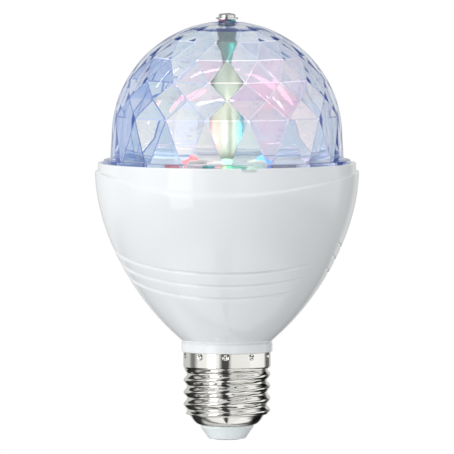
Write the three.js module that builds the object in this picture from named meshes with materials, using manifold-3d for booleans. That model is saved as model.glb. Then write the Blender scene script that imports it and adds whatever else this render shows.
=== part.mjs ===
// A disco ball lamp on an E27 screw cap, in millimetres, with +Z up.
// The origin is the lowest face of the cap's centre contact, on the lamp's axis, and -Y is the front.
// A clear dome, faceted inside, stands on a post that a small geared motor turns. Under it a white
// housing holds a board with a red, a green and a blue light, the motor and the driver board.
import * as THREE from 'three';
import { mergeVertices } from 'three/addons/utils/BufferGeometryUtils.js';
import Module from 'manifold-3d';

// Clearances
const seatGap = 0.3;
const runningGap = 0.5;
const overrun = 1.0;
const mergeDistance = 0.0001;
const sliverSize = 0.01;

// Facets round each kind of piece
const housingSegments = 36;
const domeSegments = 36;
const capSegments = 24;
const motorSegments = 24;
const partSegments = 14;
const smallSegments = 8;
const screwCrownShare = 0.33;

// Centre contact and insulator
const contactRadius = 4.6;
const contactFaceRadius = 3.7;
const contactThickness = 0.9;
const contactStemRadius = 1.6;
const contactStemProud = 0.8;
const insulatorRimWidth = 0.65;
const insulatorFootHeight = 0.3;
const insulatorLipHeight = 0.8;
const insulatorPlugInset = 2.05;
const insulatorPlugHeight = 2.2;

// Screw cap
const capFootZ = 4.5;
const capFootRadius = 8.1;
const capFootLip = 1.5;
const capShoulderHeight = 3.2;
const capSkirtHeight = 4.4;
const capWall = 0.6;
const threadCrestRadius = 13.1;
const threadDepth = 1.05;
const threadPitch = 3.63;
const threadHeight = 14.4;
const threadRunOut = 1.6;
const threadCrestRise = 1.05;
const threadRowsPerTurn = 6;
const capShoulderRows = 3;
const capShoulderShare = 0.47;
const capShoulderPower = 0.5;
const capShoulderInset = 0.75;
const dimpleCount = 10;
const dimpleRadius = 0.7;
const dimpleDepth = 0.35;
const dimpleDrop = 1.2;
const dimpleStartAngle = -38;

// Housing
const collarRadius = 13.65;
const collarHeight = 2.6;
const collarGrooveWidth = 0.4;
const collarGrooveDepth = 0.3;
const flareFootHeight = 3.4;
const flareReachShare = 0.58;
const flareRiseShare = 0.2485;
const housingRadius = 39.6;
const flankHeight = 51.1;
const bellyPullShare = 0.3405;
const flankSteps = 8;
const housingWall = 2.3;
const rimHeight = 2.2;
const rimWall = 1.2;
const rimChamfer = 0.4;
const spigotLength = 13;
const neckWall = 1.85;

// Wavy step under the rim: the band above it is set back
const stepDepth = 0.9;
const waveDrop = 0.2;
const waveRise = 5.4;

// Three swept grooves at the front, and the same three at the back
const grooveCount = 3;
const grooveSides = 2;
const grooveSideShare = 0.542;
const grooveSpacing = 3.85;
const grooveDip = 6.15;
const grooveWidth = 1.15;
const grooveDepth = 0.5;
const grooveStartAngle = -115;
const grooveEndAngle = 49.5;
const grooveEndLag = 0.75;
const grooveStartSteps = 2;
const grooveFadeAngle = 30;
const grooveFadeDepthShare = 1.2;
const grooveEndWidthShare = 0.4;
const grooveCutterShare = 1.5;
const grooveStepAngle = 10;

// Notch in the rim for a thumbnail
const notchAngle = 10;
const notchTopWidth = 5.2;
const notchBottomWidth = 3.2;
const notchDepth = 1.2;

// Light board, its lights and its screws
const lightBoardDrop = 1.5;
const lightBoardThickness = 1.6;
const lightBoardHoleGap = 1.65;
const boardScrewInset = 2.7;
const boardScrewAngles = [30, 150, 270];
const boardBossRadius = 3.3;
const boardBossHeight = 20;
const boardScrewHeadRadius = 2.1;
const boardScrewHeadHeight = 1.1;
const boardScrewShankRadius = 1.1;
const boardScrewLength = 8;
const lightOrbit = 12;
const lightAngles = { red: -120, green: 0, blue: 120 };
const lightRadius = 4.0;
const lightHeight = 1.8;
const lightLipShare = 0.33;
const lensRadius = 2.9;
const lensRows = 4;

// Driver board and its components
const driverThickness = 1.2;
const driverTabGap = 0.4;
const driverInset = 1.65;
const driverFootLift = 3.5;
const driverShoulderLift = 3.6;
const driverHeadroom = 2.0;
const componentLift = 2.5;
const componentInset = 1.4;
const componentGap = 1.1;
const filmCapacitorDepth = 6;
const filmCapacitorInset = 0.5;
const filmHeightShare = 0.88;
const componentCore = 2;
const componentShare = 0.16;
const electrolyticLength = 11;
const rectifierWidth = 6;
const rectifierDepth = 2.4;
const driverChipWidth = 4;
const driverChipDepth = 1.6;
const smallHeightShare = 0.4;
const chokeWaist = 0.9;
const chokeFlange = 1.1;
const chokeLength = 7;
const fuseRadius = 1.6;
const fuseLength = 7;
const fuseLift = 4;

// Leads
const leadRadius = 0.55;
const leadSides = 5;
const leadStepsPerBend = 3;
const leadLane = 1.65;
const leadLandingLane = 0.5;
const leadLandingShare = 0.55;
const leadOutShare = 0.6;
const leadUpShare = 0.8;
const centreLeadShares = [0.3, 0.7];
const lightLeadShares = [0.35, 0.8];
const shellLeadStartShare = 0.6;
const shellLeadTurnShare = 0.65;
const shellLeadEdgeShare = 0.8;
const shellLeadTabShare = 0.3;
const shellLeadEndShare = 0.75;

// Motor: every height here is from the floor of its can
const motorDropShare = 0.2172;
const motorRoom = 3.75;
const canWall = 0.8;
const coverGap = 0.9;
const coverThickness = 1;
const earReach = 5;
const earRadius = 3.2;
const motorBossDepth = 20;
const motorScrewHeadRadius = 2.6;
const motorScrewHeadHeight = 1.8;
const motorScrewShankRadius = 1.2;
const motorScrewLength = 8;
const bobbinHeightShare = 0.1468;
const bobbinFlange = 1;
const bobbinCoreWall = 1.3;
const bobbinInset = 3.7;
const windingInset = 1;
const polePlateThickness = 0.8;
const clawCount = 6;
const clawHalfAngle = 10;
const clawGap = 1.5;
const clawThickness = 0.7;
const rotorShare = 0.3587;
const rotorBoreRadius = 2.3;
const rotorHeadroom = 0.9;
const rotorLift = 0.6;

// Gear train: three stages of a small pinion on a wheel, back to the motor's own axis
const gearSpreadShare = 0.4557;
const pinionTeeth = 12;
const wheelTeeth = 42;
const addendumShare = 0.66;
const dedendumShare = 1.15;
const tipWidthShare = 0.3;
const rootWidthShare = 0.48;
const wheelThickness = 1.2;
const levelGap = 0.45;
const firstLevel = 0.5;
const centrePinRadius = 0.8;
const axleRadius = 0.75;
const gearHubRadius = 1.55;
const outputHubRadius = 3.6;
const outputHubHeight = 1;
const outputJournalRadius = 2.0;
const outputShaftShoulder = 0.25;
const outputSpigotHeight = 8.5;
const bushWall = 0.9;
const bushFlange = 1;
const bushHeight = 3.2;

// Dome: every height here is from the underside of its flange
const flangeSink = 1.5;
const flangeThickness = 2.4;
const flangeWidth = 2;
const skirtLean = 0.4;
const skirtHeight = 6.9;
const domeWall = 2.3;
const facetCount = 16;
const facetRowAngles = [10.5, 21, 31, 45, 59, 70];
const crownLip = 0.85;
const domeRows = 9;
const bossWall = 1;
const bossRise = 0.6;
const postRadius = 2.75;
const postSocketWall = 0.75;
const washerLip = 0.8;
const washerThickness = 0.5;
const topScrewHeadRadius = 2.55;
const topScrewHeadHeight = 1.3;
const topScrewShankRadius = 1.3;
const topScrewLength = 12;
const crossWidth = 0.7;
const crossLength = 2.8;
const crossDepth = 0.7;

// Heights and radii that follow from the sizes above
const capHoleRadius = capFootRadius - capFootLip;
const insulatorLipRadius = capFootRadius - seatGap / 2;
const insulatorFootRadius = contactRadius + seatGap + insulatorRimWidth;
const insulatorPlugFootZ = capFootZ + capWall + seatGap;
const insulatorPlugTopZ = insulatorPlugFootZ + insulatorPlugHeight;
const contactStemTopZ = insulatorPlugTopZ + contactStemProud;
const threadFootZ = capFootZ + capShoulderHeight;
const threadTopZ = threadFootZ + threadHeight;
const capTopZ = threadTopZ + capSkirtHeight;
const threadRootRadius = threadCrestRadius - threadDepth;
const capBoreRadius = threadRootRadius - capWall;
const insulatorPlugRadius = capBoreRadius - insulatorPlugInset;
const collarTopZ = capTopZ + collarHeight;
const flareFootZ = capTopZ + flareFootHeight;
const bellyTopZ = flareFootZ + flankHeight;
const rimTopZ = bellyTopZ + rimHeight;
const waveHighZ = bellyTopZ - waveDrop;
const grooveSideZ = flareFootZ + grooveSideShare * flankHeight;
const spigotRadius = capBoreRadius - seatGap;
const spigotFootZ = capTopZ - spigotLength;
const neckBoreRadius = spigotRadius - neckWall;
const bandRadius = housingRadius - stepDepth;
const cavityRadius = bandRadius - housingWall;
const pocketRadius = bandRadius - rimWall;
const domeSeatZ = rimTopZ - flangeSink;
const pocketFloorZ = domeSeatZ - runningGap - seatGap;
const flangeRadius = pocketRadius - runningGap;
const lightBoardRadius = cavityRadius - seatGap;
const lightBoardTopZ = domeSeatZ - lightBoardDrop;
const lightBoardFootZ = lightBoardTopZ - lightBoardThickness;
const lightBoardHoleRadius = postRadius + lightBoardHoleGap;
const boardScrewOrbit = lightBoardRadius - boardScrewInset;

// The housing's flank, from the collar to its widest ring
const flareReach = flareReachShare * (housingRadius - collarRadius);
const flank = new THREE.CubicBezierCurve(
  new THREE.Vector2(collarRadius, flareFootZ),
  new THREE.Vector2(collarRadius + flareReach, flareFootZ + flareRiseShare * flankHeight),
  new THREE.Vector2(housingRadius, bellyTopZ - bellyPullShare * flankHeight),
  new THREE.Vector2(housingRadius, bellyTopZ),
);

// The motor's sizes, worked out from its can and its levels
const bobbinHeight = bobbinHeightShare * flankHeight;
const clawLength = bobbinHeight - clawGap;
const rotorHeight = bobbinHeight - rotorLift - rotorHeadroom;
const polePlateFoot = canWall + bobbinHeight;
const polePlateTop = polePlateFoot + polePlateThickness;
const wheelFoot = (level) => polePlateTop + firstLevel + (wheelThickness + levelGap) * level;
const outputJournalFoot = wheelFoot(2);
const outputShoulder = outputJournalFoot + wheelThickness + outputHubHeight;
const canHeight = outputShoulder + coverGap;
const coverTop = canHeight + coverThickness;
const postSeat = coverTop + bushHeight + seatGap;
const motorFloorZ = lightBoardFootZ - motorDropShare * flankHeight - coverTop;
const canTopZ = motorFloorZ + canHeight;
const coverTopZ = motorFloorZ + coverTop;
const postFootZ = motorFloorZ + postSeat;
const outputShaftRadius = postRadius + outputShaftShoulder;
const outputSpigotRadius = postRadius - postSocketWall - seatGap;
const bushNeckRadius = outputShaftRadius + seatGap + bushWall;
const bushRadius = bushNeckRadius + bushFlange;

// The motor's radii, worked out from the flank beside its floor
const canRadius = flank.getPoint(flankShareAt(motorFloorZ)).x - housingWall - motorRoom;
const canBoreRadius = canRadius - canWall;
const earOrbit = canRadius + earReach;
const rotorRadius = rotorShare * canBoreRadius;
const bobbinBoreRadius = rotorRadius + runningGap + clawThickness + runningGap;
const bobbinRadius = canBoreRadius - bobbinInset;
const windingRadius = bobbinRadius - windingInset;
const centreDistance = gearSpreadShare * canBoreRadius;
const gearModule = (2 * centreDistance) / (pinionTeeth + wheelTeeth);
const pitchRadius = (teeth) => (teeth * gearModule) / 2;
const tipRadius = (teeth) => pitchRadius(teeth) + addendumShare * gearModule;
const rootRadius = (teeth) => pitchRadius(teeth) - dedendumShare * gearModule;

// The driver board, from the cap's spigot up to the motor
const driverFootZ = spigotFootZ + driverFootLift;
const driverShoulderZ = flareFootZ + driverShoulderLift;
const driverTopZ = motorFloorZ - driverHeadroom;
const driverTabHalfWidth = neckBoreRadius - driverTabGap;
const driverHalfWidth = collarRadius - driverInset;
const componentFootZ = driverShoulderZ + componentLift;
const componentSideX = driverHalfWidth - componentInset;
const driverRoom = driverTopZ - componentFootZ;
const electrolyticRadius = componentCore + componentShare * driverRoom;
const chokeRadius = componentCore + componentShare * driverRoom;
const chokeWaistRadius = chokeRadius - chokeWaist;
const smallHeight = smallHeightShare * driverRoom;
const rectifierSize = [rectifierWidth, rectifierDepth, smallHeight];
const driverChipSize = [driverChipWidth, driverChipDepth, smallHeight];
const filmLeftX = filmCapacitorInset - driverHalfWidth;
const filmRightX = componentSideX - 2 * electrolyticRadius - componentGap;
const filmCapacitorSize = [filmRightX - filmLeftX, filmCapacitorDepth, filmHeightShare * driverRoom];

// The dome, from its flange up to the screw on top
const skirtFootRadius = flangeRadius - flangeWidth;
const domeRadius = skirtFootRadius - skirtLean;
const sphereCentre = flangeThickness + skirtHeight;
const innerRadius = domeRadius - domeWall;
const crownRadius = postRadius + crownLip;
const crownHeight = sphereCentre + Math.sqrt(innerRadius ** 2 - crownRadius ** 2);
const crownZ = domeSeatZ + crownHeight;
const bossRadius = topScrewShankRadius + seatGap + bossWall;
const bossTop = sphereCentre + domeRadius + bossRise;
const washerRadius = topScrewHeadRadius + washerLip;

const halfTurn = Math.PI;
const fullTurn = 2 * Math.PI;
const quarterTurn = Math.PI / 2;
const radians = (degrees) => (degrees * Math.PI) / 180;

const wasm = await Module();
wasm.setup();

// The direction of an azimuth in degrees, counted from the front towards +X.
function compass(azimuth, radius) {
  const angle = radians(azimuth);
  return [radius * Math.sin(angle), -radius * Math.cos(angle)];
}

// A closed body with shared corners merged, empty triangles dropped and its faces pointing out.
function tidy(geometry) {
  const bare = geometry.clone();
  bare.deleteAttribute('normal');
  bare.deleteAttribute('uv');
  const merged = mergeVertices(bare, mergeDistance);
  const position = merged.getAttribute('position');
  const corners = merged.index.array;
  const kept = [];
  let volume = 0;
  const [a, b, c] = [new THREE.Vector3(), new THREE.Vector3(), new THREE.Vector3()];
  for (let k = 0; k < corners.length; k += 3) {
    const [i, j, m] = [corners[k], corners[k + 1], corners[k + 2]];
    if (i === j || j === m || m === i) continue;
    kept.push(i, j, m);
    a.fromBufferAttribute(position, i);
    b.fromBufferAttribute(position, j);
    c.fromBufferAttribute(position, m);
    volume += a.dot(b.cross(c));
  }
  merged.setIndex(volume < 0 ? kept.reverse() : kept);
  return merged;
}

function solidOf(geometry) {
  return new wasm.Manifold(new wasm.Mesh({
    numProp: 3,
    vertProperties: new Float32Array(geometry.getAttribute('position').array),
    triVerts: new Uint32Array(geometry.index.array),
  }));
}

function geometryOf(solid) {
  const mesh = solid.simplify(sliverSize).getMesh();
  const geometry = new THREE.BufferGeometry();
  geometry.setAttribute('position', new THREE.BufferAttribute(new Float32Array(mesh.vertProperties), 3));
  geometry.setIndex(Array.from(mesh.triVerts));
  return geometry;
}

function cut(base, ...tools) {
  return geometryOf(tools.reduce((body, tool) => body.subtract(solidOf(tool)), solidOf(base)));
}

function join(first, ...others) {
  return geometryOf(others.reduce((body, other) => body.add(solidOf(other)), solidOf(first)));
}

function common(first, second) {
  return geometryOf(solidOf(first).intersect(solidOf(second)));
}

// A body turned about Z from [radius, height] pairs that start and end on the axis.
function turned(outline, segments = partSegments) {
  const points = outline.map(([radius, height]) => new THREE.Vector2(radius, height));
  return tidy(new THREE.LatheGeometry(points, segments).rotateX(quarterTurn));
}

// A ring turned about Z from an outline that closes on itself.
function ring(outline, segments = partSegments) {
  return turned([...outline, outline[0]], segments);
}

function disc(radius, foot, top, segments = partSegments) {
  return turned([[0, foot], [radius, foot], [radius, top], [0, top]], segments);
}

function washer(bore, radius, foot, top, segments = partSegments) {
  return ring([[bore, foot], [radius, foot], [radius, top], [bore, top]], segments);
}

function block(width, depth, height) {
  return tidy(new THREE.BoxGeometry(width, depth, height).translate(0, 0, height / 2));
}

// A prism on an outline of [x, y] pairs, from one height to another.
function prism(outline, foot, top) {
  const shape = new THREE.Shape(outline.map(([x, y]) => new THREE.Vector2(x, y)));
  const geometry = new THREE.ExtrudeGeometry(shape, { depth: top - foot, bevelEnabled: false });
  return tidy(geometry.translate(0, 0, foot));
}

// Rings of points joined one to the next. Without caps the last ring joins the first.
function lofted(rings, capped) {
  const count = rings[0].length;
  const points = rings.flat();
  const corners = [];
  const bands = capped ? rings.length - 1 : rings.length;
  for (let row = 0; row < bands; row += 1) {
    const next = (row + 1) % rings.length;
    for (let k = 0; k < count; k += 1) {
      const after = (k + 1) % count;
      const [a, b] = [row * count + k, row * count + after];
      const [d, c] = [next * count + k, next * count + after];
      corners.push(a, b, c, a, c, d);
    }
  }
  if (capped) {
    for (let k = 1; k < count - 1; k += 1) {
      const top = (rings.length - 1) * count;
      corners.push(0, k + 1, k, top, top + k, top + k + 1);
    }
  }
  const geometry = new THREE.BufferGeometry().setFromPoints(points);
  geometry.setIndex(corners);
  return tidy(geometry);
}

function moved(geometry, x, y, z) {
  return tidy(geometry.clone().translate(x, y, z));
}

// A wire along points chosen by hand.
function wire(points) {
  const path = new THREE.CatmullRomCurve3(points.map(([x, y, z]) => new THREE.Vector3(x, y, z)));
  const section = [];
  for (let side = 0; side < leadSides; side += 1) {
    const angle = (fullTurn * side) / leadSides;
    section.push(new THREE.Vector2(leadRadius * Math.cos(angle), leadRadius * Math.sin(angle)));
  }
  const steps = leadStepsPerBend * (points.length - 1);
  return tidy(new THREE.ExtrudeGeometry(new THREE.Shape(section), { steps, extrudePath: path }));
}

// A pan-head screw that points down, with its head standing on the origin.
function screw(headRadius, headHeight, shankRadius, length) {
  const crown = screwCrownShare * headHeight;
  return turned([
    [0, -length],
    [shankRadius / 2, -length],
    [shankRadius, shankRadius - length],
    [shankRadius, 0],
    [headRadius, 0],
    [headRadius, headHeight - crown],
    [headRadius - crown, headHeight],
    [0, headHeight],
  ], smallSegments);
}

function piece(name, geometry, color, roughness, metalness, extra = {}) {
  const material = new THREE.MeshStandardMaterial({ color, roughness, metalness, ...extra });
  const mesh = new THREE.Mesh(geometry, material);
  mesh.name = name;
  return mesh;
}

function place(mesh, x, y, z) {
  mesh.position.set(x, y, z);
  return mesh;
}

function group(z, ...members) {
  const assembly = new THREE.Group();
  assembly.position.z = z;
  assembly.add(...members);
  return assembly;
}

// Centre contact: a flat-faced rivet whose stem comes up inside the cap.
function centreContact() {
  const shoulder = contactRadius - contactFaceRadius;
  return turned([
    [0, 0],
    [contactFaceRadius, 0],
    [contactRadius, shoulder / 2],
    [contactRadius, contactThickness],
    [contactStemRadius, contactThickness],
    [contactStemRadius, contactStemTopZ],
    [0, contactStemTopZ],
  ]);
}

// Insulator: a cone under the cap, and a plug inside it.
function capInsulator() {
  const bore = contactStemRadius + seatGap;
  const recess = contactRadius + seatGap;
  const neck = capHoleRadius - seatGap;
  const lipFoot = capFootZ - insulatorLipHeight;
  const slope = insulatorPlugRadius - neck;
  return ring([
    [recess, contactThickness],
    [recess, insulatorFootHeight],
    [insulatorFootRadius, insulatorFootHeight],
    [insulatorLipRadius - seatGap, lipFoot],
    [insulatorLipRadius, lipFoot],
    [insulatorLipRadius, capFootZ],
    [neck, capFootZ],
    [neck, insulatorPlugFootZ],
    [insulatorPlugRadius - slope / 2, insulatorPlugFootZ],
    [insulatorPlugRadius, insulatorPlugTopZ],
    [bore, insulatorPlugTopZ],
    [bore, contactThickness],
  ]);
}

// How far the rolled thread is formed at a height: none on the shoulder and on the skirt.
function threadFade(z) {
  const rise = THREE.MathUtils.smoothstep(z, threadFootZ - threadRunOut, threadFootZ + threadRunOut);
  return rise * (1 - THREE.MathUtils.smoothstep(z, threadTopZ - threadRunOut, threadTopZ));
}

// The cap's outer radius: a bulging shoulder, a right-hand rolled thread and a plain skirt.
function capRadius(angle, z) {
  if (z < threadFootZ) {
    const up = Math.max(0, (z - capFootZ) / capShoulderHeight);
    const width = threadRootRadius - capShoulderInset - capFootRadius;
    return capFootRadius + width * up ** capShoulderPower;
  }
  const phase = (fullTurn * (z - threadFootZ - threadCrestRise)) / threadPitch - angle;
  const groove = (threadDepth / 2) * (1 - Math.cos(phase));
  const skirt = THREE.MathUtils.smoothstep(z, threadTopZ - threadRunOut, threadTopZ);
  const plain = threadRootRadius + threadDepth * skirt;
  return plain + (threadCrestRadius - groove - plain) * threadFade(z);
}

function capRing(height, radiusAt) {
  const points = [];
  for (let k = 0; k < capSegments; k += 1) {
    const angle = (fullTurn * k) / capSegments;
    const radius = radiusAt(angle);
    points.push(new THREE.Vector3(radius * Math.cos(angle), radius * Math.sin(angle), height));
  }
  return points;
}

// Screw cap: one thin shell, its rolled thread worked out on a grid, with the punch marks that hold
// it to the housing.
function screwCap() {
  const rings = [];
  for (let row = 0; row <= capShoulderRows; row += 1) {
    const z = capFootZ + capShoulderHeight * (1 - Math.cos((quarterTurn * row) / capShoulderRows));
    rings.push(capRing(z, (angle) => capRadius(angle, z)));
  }
  const threadRows = Math.round((threadHeight / threadPitch) * threadRowsPerTurn);
  for (let row = 1; row <= threadRows; row += 1) {
    const z = threadFootZ + (threadHeight * row) / threadRows;
    rings.push(capRing(z, (angle) => capRadius(angle, z)));
  }
  const skirtBore = threadCrestRadius - capWall;
  const inside = [
    [threadCrestRadius, capTopZ],
    [skirtBore, capTopZ],
    [skirtBore, threadTopZ + capWall],
    [capBoreRadius, threadTopZ],
    [capBoreRadius, threadFootZ + capWall],
    [(capBoreRadius + capFootRadius) / 2, capFootZ + capShoulderShare * (capShoulderHeight + capWall)],
    [capFootRadius, capFootZ + capWall],
    [capHoleRadius, capFootZ + capWall],
    [capHoleRadius, capFootZ],
  ];
  inside.forEach(([radius, z]) => rings.push(capRing(z, () => radius)));
  return cut(lofted(rings, false), ...dimples());
}

function dimples() {
  const tools = [];
  for (let k = 0; k < dimpleCount; k += 1) {
    const cone = new THREE.ConeGeometry(dimpleRadius, dimpleRadius, smallSegments / 2);
    const azimuth = dimpleStartAngle + (360 * k) / dimpleCount;
    const [x, y] = compass(azimuth, threadCrestRadius - dimpleDepth + dimpleRadius / 2);
    cone.rotateX(quarterTurn).rotateZ(radians(azimuth)).translate(x, y, capTopZ - dimpleDrop);
    tools.push(tidy(cone));
  }
  return tools;
}

// Where on the flank a height lies, found by halving.
function flankShareAt(z) {
  let [low, high] = [0, 1];
  for (let turn = 0; turn < 30; turn += 1) {
    const middle = (low + high) / 2;
    if (flank.getPoint(middle).y < z) low = middle;
    else high = middle;
  }
  return (low + high) / 2;
}

// The housing's outside, set back by a depth from the flank upwards.
function housingOutline(setBack) {
  const points = flank.getPoints(flankSteps).map(({ x, y }) => [x - setBack, y]);
  return [
    [0, spigotFootZ],
    [spigotRadius, spigotFootZ],
    [spigotRadius, capTopZ],
    [collarRadius - setBack, capTopZ],
    [collarRadius - setBack, collarTopZ],
    [collarRadius - setBack - collarGrooveDepth, collarTopZ],
    [collarRadius - setBack - collarGrooveDepth, collarTopZ + collarGrooveWidth],
    [collarRadius - setBack, collarTopZ + collarGrooveWidth],
    ...points,
    [housingRadius - setBack, rimTopZ - rimChamfer],
    [housingRadius - setBack - rimChamfer, rimTopZ],
    [0, rimTopZ],
  ];
}

// The cavity: the neck's bore, the flank set in by the wall, and the pocket that the dome turns in.
function housingCavity() {
  const points = [];
  for (let step = 2; step <= flankSteps; step += 1) {
    const share = step / flankSteps;
    const at = flank.getPoint(share);
    const along = flank.getTangent(share);
    const radius = Math.min(cavityRadius, at.x - housingWall * along.y);
    if (radius > neckBoreRadius) points.push([radius, at.y + housingWall * along.x]);
  }
  const last = points[points.length - 1];
  if (last[1] > pocketFloorZ) points.pop();
  return turned([
    [0, spigotFootZ - overrun],
    [neckBoreRadius, spigotFootZ - overrun],
    [neckBoreRadius, flareFootZ],
    ...points,
    [cavityRadius, pocketFloorZ],
    [pocketRadius, pocketFloorZ],
    [pocketRadius, rimTopZ + overrun],
    [0, rimTopZ + overrun],
  ], housingSegments);
}

// The space above the wavy step, as a ring whose underside rises and falls twice.
function aboveWave() {
  const [inner, outer] = [cavityRadius - overrun, housingRadius + overrun];
  const corners = [[inner, false], [outer, false], [outer, true], [inner, true]];
  return lofted(corners.map(([radius, upper]) => {
    const points = [];
    for (let k = 0; k < housingSegments; k += 1) {
      const angle = (fullTurn * k) / housingSegments;
      const wave = waveHighZ - waveRise * Math.sin(angle) ** 2;
      const z = upper ? rimTopZ + overrun : wave;
      points.push(new THREE.Vector3(radius * Math.cos(angle), radius * Math.sin(angle), z));
    }
    return points;
  }), false);
}

// One station of a groove's cutter: a V across the groove, square to the flank.
function grooveStation(azimuth, sideZ, fullness) {
  const z = sideZ - grooveDip * Math.cos(radians(azimuth));
  const share = flankShareAt(z);
  const at = flank.getPoint(share);
  const along = flank.getTangent(share);
  const depth = grooveDepth * (1 - grooveFadeDepthShare * (1 - fullness));
  const half = (grooveWidth / 2) * (1 - (1 - grooveEndWidthShare) * (1 - fullness));
  const brim = grooveCutterShare * half;
  const section = [[brim, grooveDepth / 2], [0, -depth], [-brim, grooveDepth / 2]];
  return section.map(([up, out]) => {
    const radius = at.x + along.x * up + along.y * out;
    const [x, y] = compass(azimuth, radius);
    return new THREE.Vector3(x, y, at.y + along.y * up - along.x * out);
  });
}

// The cutter of one groove: it starts full and fades out at its right-hand end.
function grooveCutter(order) {
  const end = grooveEndAngle - grooveEndLag * order;
  const sideZ = grooveSideZ - grooveSpacing * order;
  const steps = Math.round((end - grooveStartAngle) / grooveStepAngle);
  const rings = [];
  for (let step = 0; step <= steps; step += 1) {
    const azimuth = grooveStartAngle + ((end - grooveStartAngle) * step) / steps;
    const left = Math.min(1, (end - azimuth) / grooveFadeAngle);
    const begun = Math.min(1, step / grooveStartSteps);
    rings.push(grooveStation(azimuth, sideZ, Math.sin(quarterTurn * left) * begun));
  }
  return lofted(rings, true);
}

function grooveCutters() {
  const tools = [];
  for (let order = 0; order < grooveCount; order += 1) {
    const tool = grooveCutter(order);
    for (let side = 0; side < grooveSides; side += 1) {
      tools.push(tidy(tool.clone().rotateZ((fullTurn * side) / grooveSides)));
    }
  }
  return tools;
}

function rimNotch() {
  const outline = [
    [-notchBottomWidth / 2, rimTopZ - notchDepth],
    [notchBottomWidth / 2, rimTopZ - notchDepth],
    [notchTopWidth / 2, rimTopZ],
    [notchTopWidth / 2, rimTopZ + overrun],
    [-notchTopWidth / 2, rimTopZ + overrun],
    [-notchTopWidth / 2, rimTopZ],
  ];
  const depth = rimWall + 2 * overrun;
  const [x, y] = compass(notchAngle, pocketRadius - overrun);
  const cutter = prism(outline, 0, depth).rotateX(quarterTurn).rotateZ(radians(notchAngle));
  return tidy(cutter.translate(x, y, 0));
}

// A screw boss that grows out of the housing's wall, and the pilot hole in it.
function boss(radius, azimuth, orbit, foot, top) {
  const [x, y] = compass(azimuth, orbit);
  return moved(disc(radius, foot, top), x, y, 0);
}

function housing() {
  const below = cut(turned(housingOutline(0), housingSegments), aboveWave());
  const outside = join(below, turned(housingOutline(stepDepth), housingSegments));
  const shell = cut(outside, housingCavity());
  const bosses = boardScrewAngles.map((azimuth) => {
    const foot = lightBoardFootZ - boardBossHeight;
    return boss(boardBossRadius, azimuth, boardScrewOrbit, foot, lightBoardFootZ);
  });
  const holes = boardScrewAngles.map((azimuth) => {
    const foot = lightBoardFootZ - boardScrewLength - overrun;
    const radius = boardScrewShankRadius + seatGap;
    return boss(radius, azimuth, boardScrewOrbit, foot, lightBoardFootZ + overrun);
  });
  [0, 180].forEach((azimuth) => {
    bosses.push(boss(earRadius, azimuth, earOrbit, canTopZ - motorBossDepth, canTopZ));
    const foot = canTopZ - motorScrewLength - overrun;
    holes.push(boss(motorScrewShankRadius + seatGap, azimuth, earOrbit, foot, canTopZ + overrun));
  });
  const inside = bosses.map((one) => common(one, outside));
  return cut(join(shell, ...inside), ...holes, ...grooveCutters(), rimNotch());
}

// Light board: a round plate with a hole for the post and one for each screw.
function lightBoard() {
  const plate = disc(lightBoardRadius, 0, lightBoardThickness, domeSegments);
  const holes = boardScrewAngles.map((azimuth) => {
    const radius = boardScrewShankRadius + seatGap;
    return boss(radius, azimuth, boardScrewOrbit, -overrun, lightBoardThickness + overrun);
  });
  return cut(plate, disc(lightBoardHoleRadius, -overrun, lightBoardThickness + overrun), ...holes);
}

// A light: a round base with a sloped reflector rim.
function light() {
  const lip = lightLipShare * lightHeight;
  return turned([
    [0, 0],
    [lightRadius, 0],
    [lightRadius, lightHeight - lip],
    [lightRadius - lip, lightHeight],
    [0, lightHeight],
  ]);
}

// A lens: a half ball of clear resin.
function lens() {
  const outline = [[0, 0], [lensRadius, 0]];
  for (let row = 1; row <= lensRows; row += 1) {
    const angle = (quarterTurn * row) / lensRows;
    const radius = row === lensRows ? 0 : lensRadius * Math.cos(angle);
    outline.push([radius, lensRadius * Math.sin(angle)]);
  }
  return turned(outline);
}

// Driver board: a plate on edge, with a narrow tab that slides into the neck.
function driverBoard() {
  const outline = [
    [-driverTabHalfWidth, driverFootZ],
    [driverTabHalfWidth, driverFootZ],
    [driverTabHalfWidth, driverShoulderZ],
    [driverHalfWidth, driverShoulderZ],
    [driverHalfWidth, driverTopZ],
    [-driverHalfWidth, driverTopZ],
    [-driverHalfWidth, driverShoulderZ],
    [-driverTabHalfWidth, driverShoulderZ],
  ];
  const half = driverThickness / 2;
  return tidy(prism(outline, -half, half).rotateX(quarterTurn));
}

// A drum choke that stands on its end.
function choke() {
  return turned([
    [0, 0],
    [chokeRadius, 0],
    [chokeRadius, chokeFlange],
    [chokeWaistRadius, chokeFlange],
    [chokeWaistRadius, chokeLength - chokeFlange],
    [chokeRadius, chokeLength - chokeFlange],
    [chokeRadius, chokeLength],
    [0, chokeLength],
  ], smallSegments);
}

// Components stand on the board's front face, or on its back face when they are turned round.
function onFront(mesh, x, z) {
  mesh.rotation.x = quarterTurn;
  return place(mesh, x, -driverThickness / 2, z);
}

function onBack(mesh, x, z) {
  mesh.rotation.x = -quarterTurn;
  return place(mesh, x, driverThickness / 2, z);
}

// A block that stands on the board, given by its width, its depth off the board and its height.
function component([width, depth, height]) {
  return block(width, height, depth);
}

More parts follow.
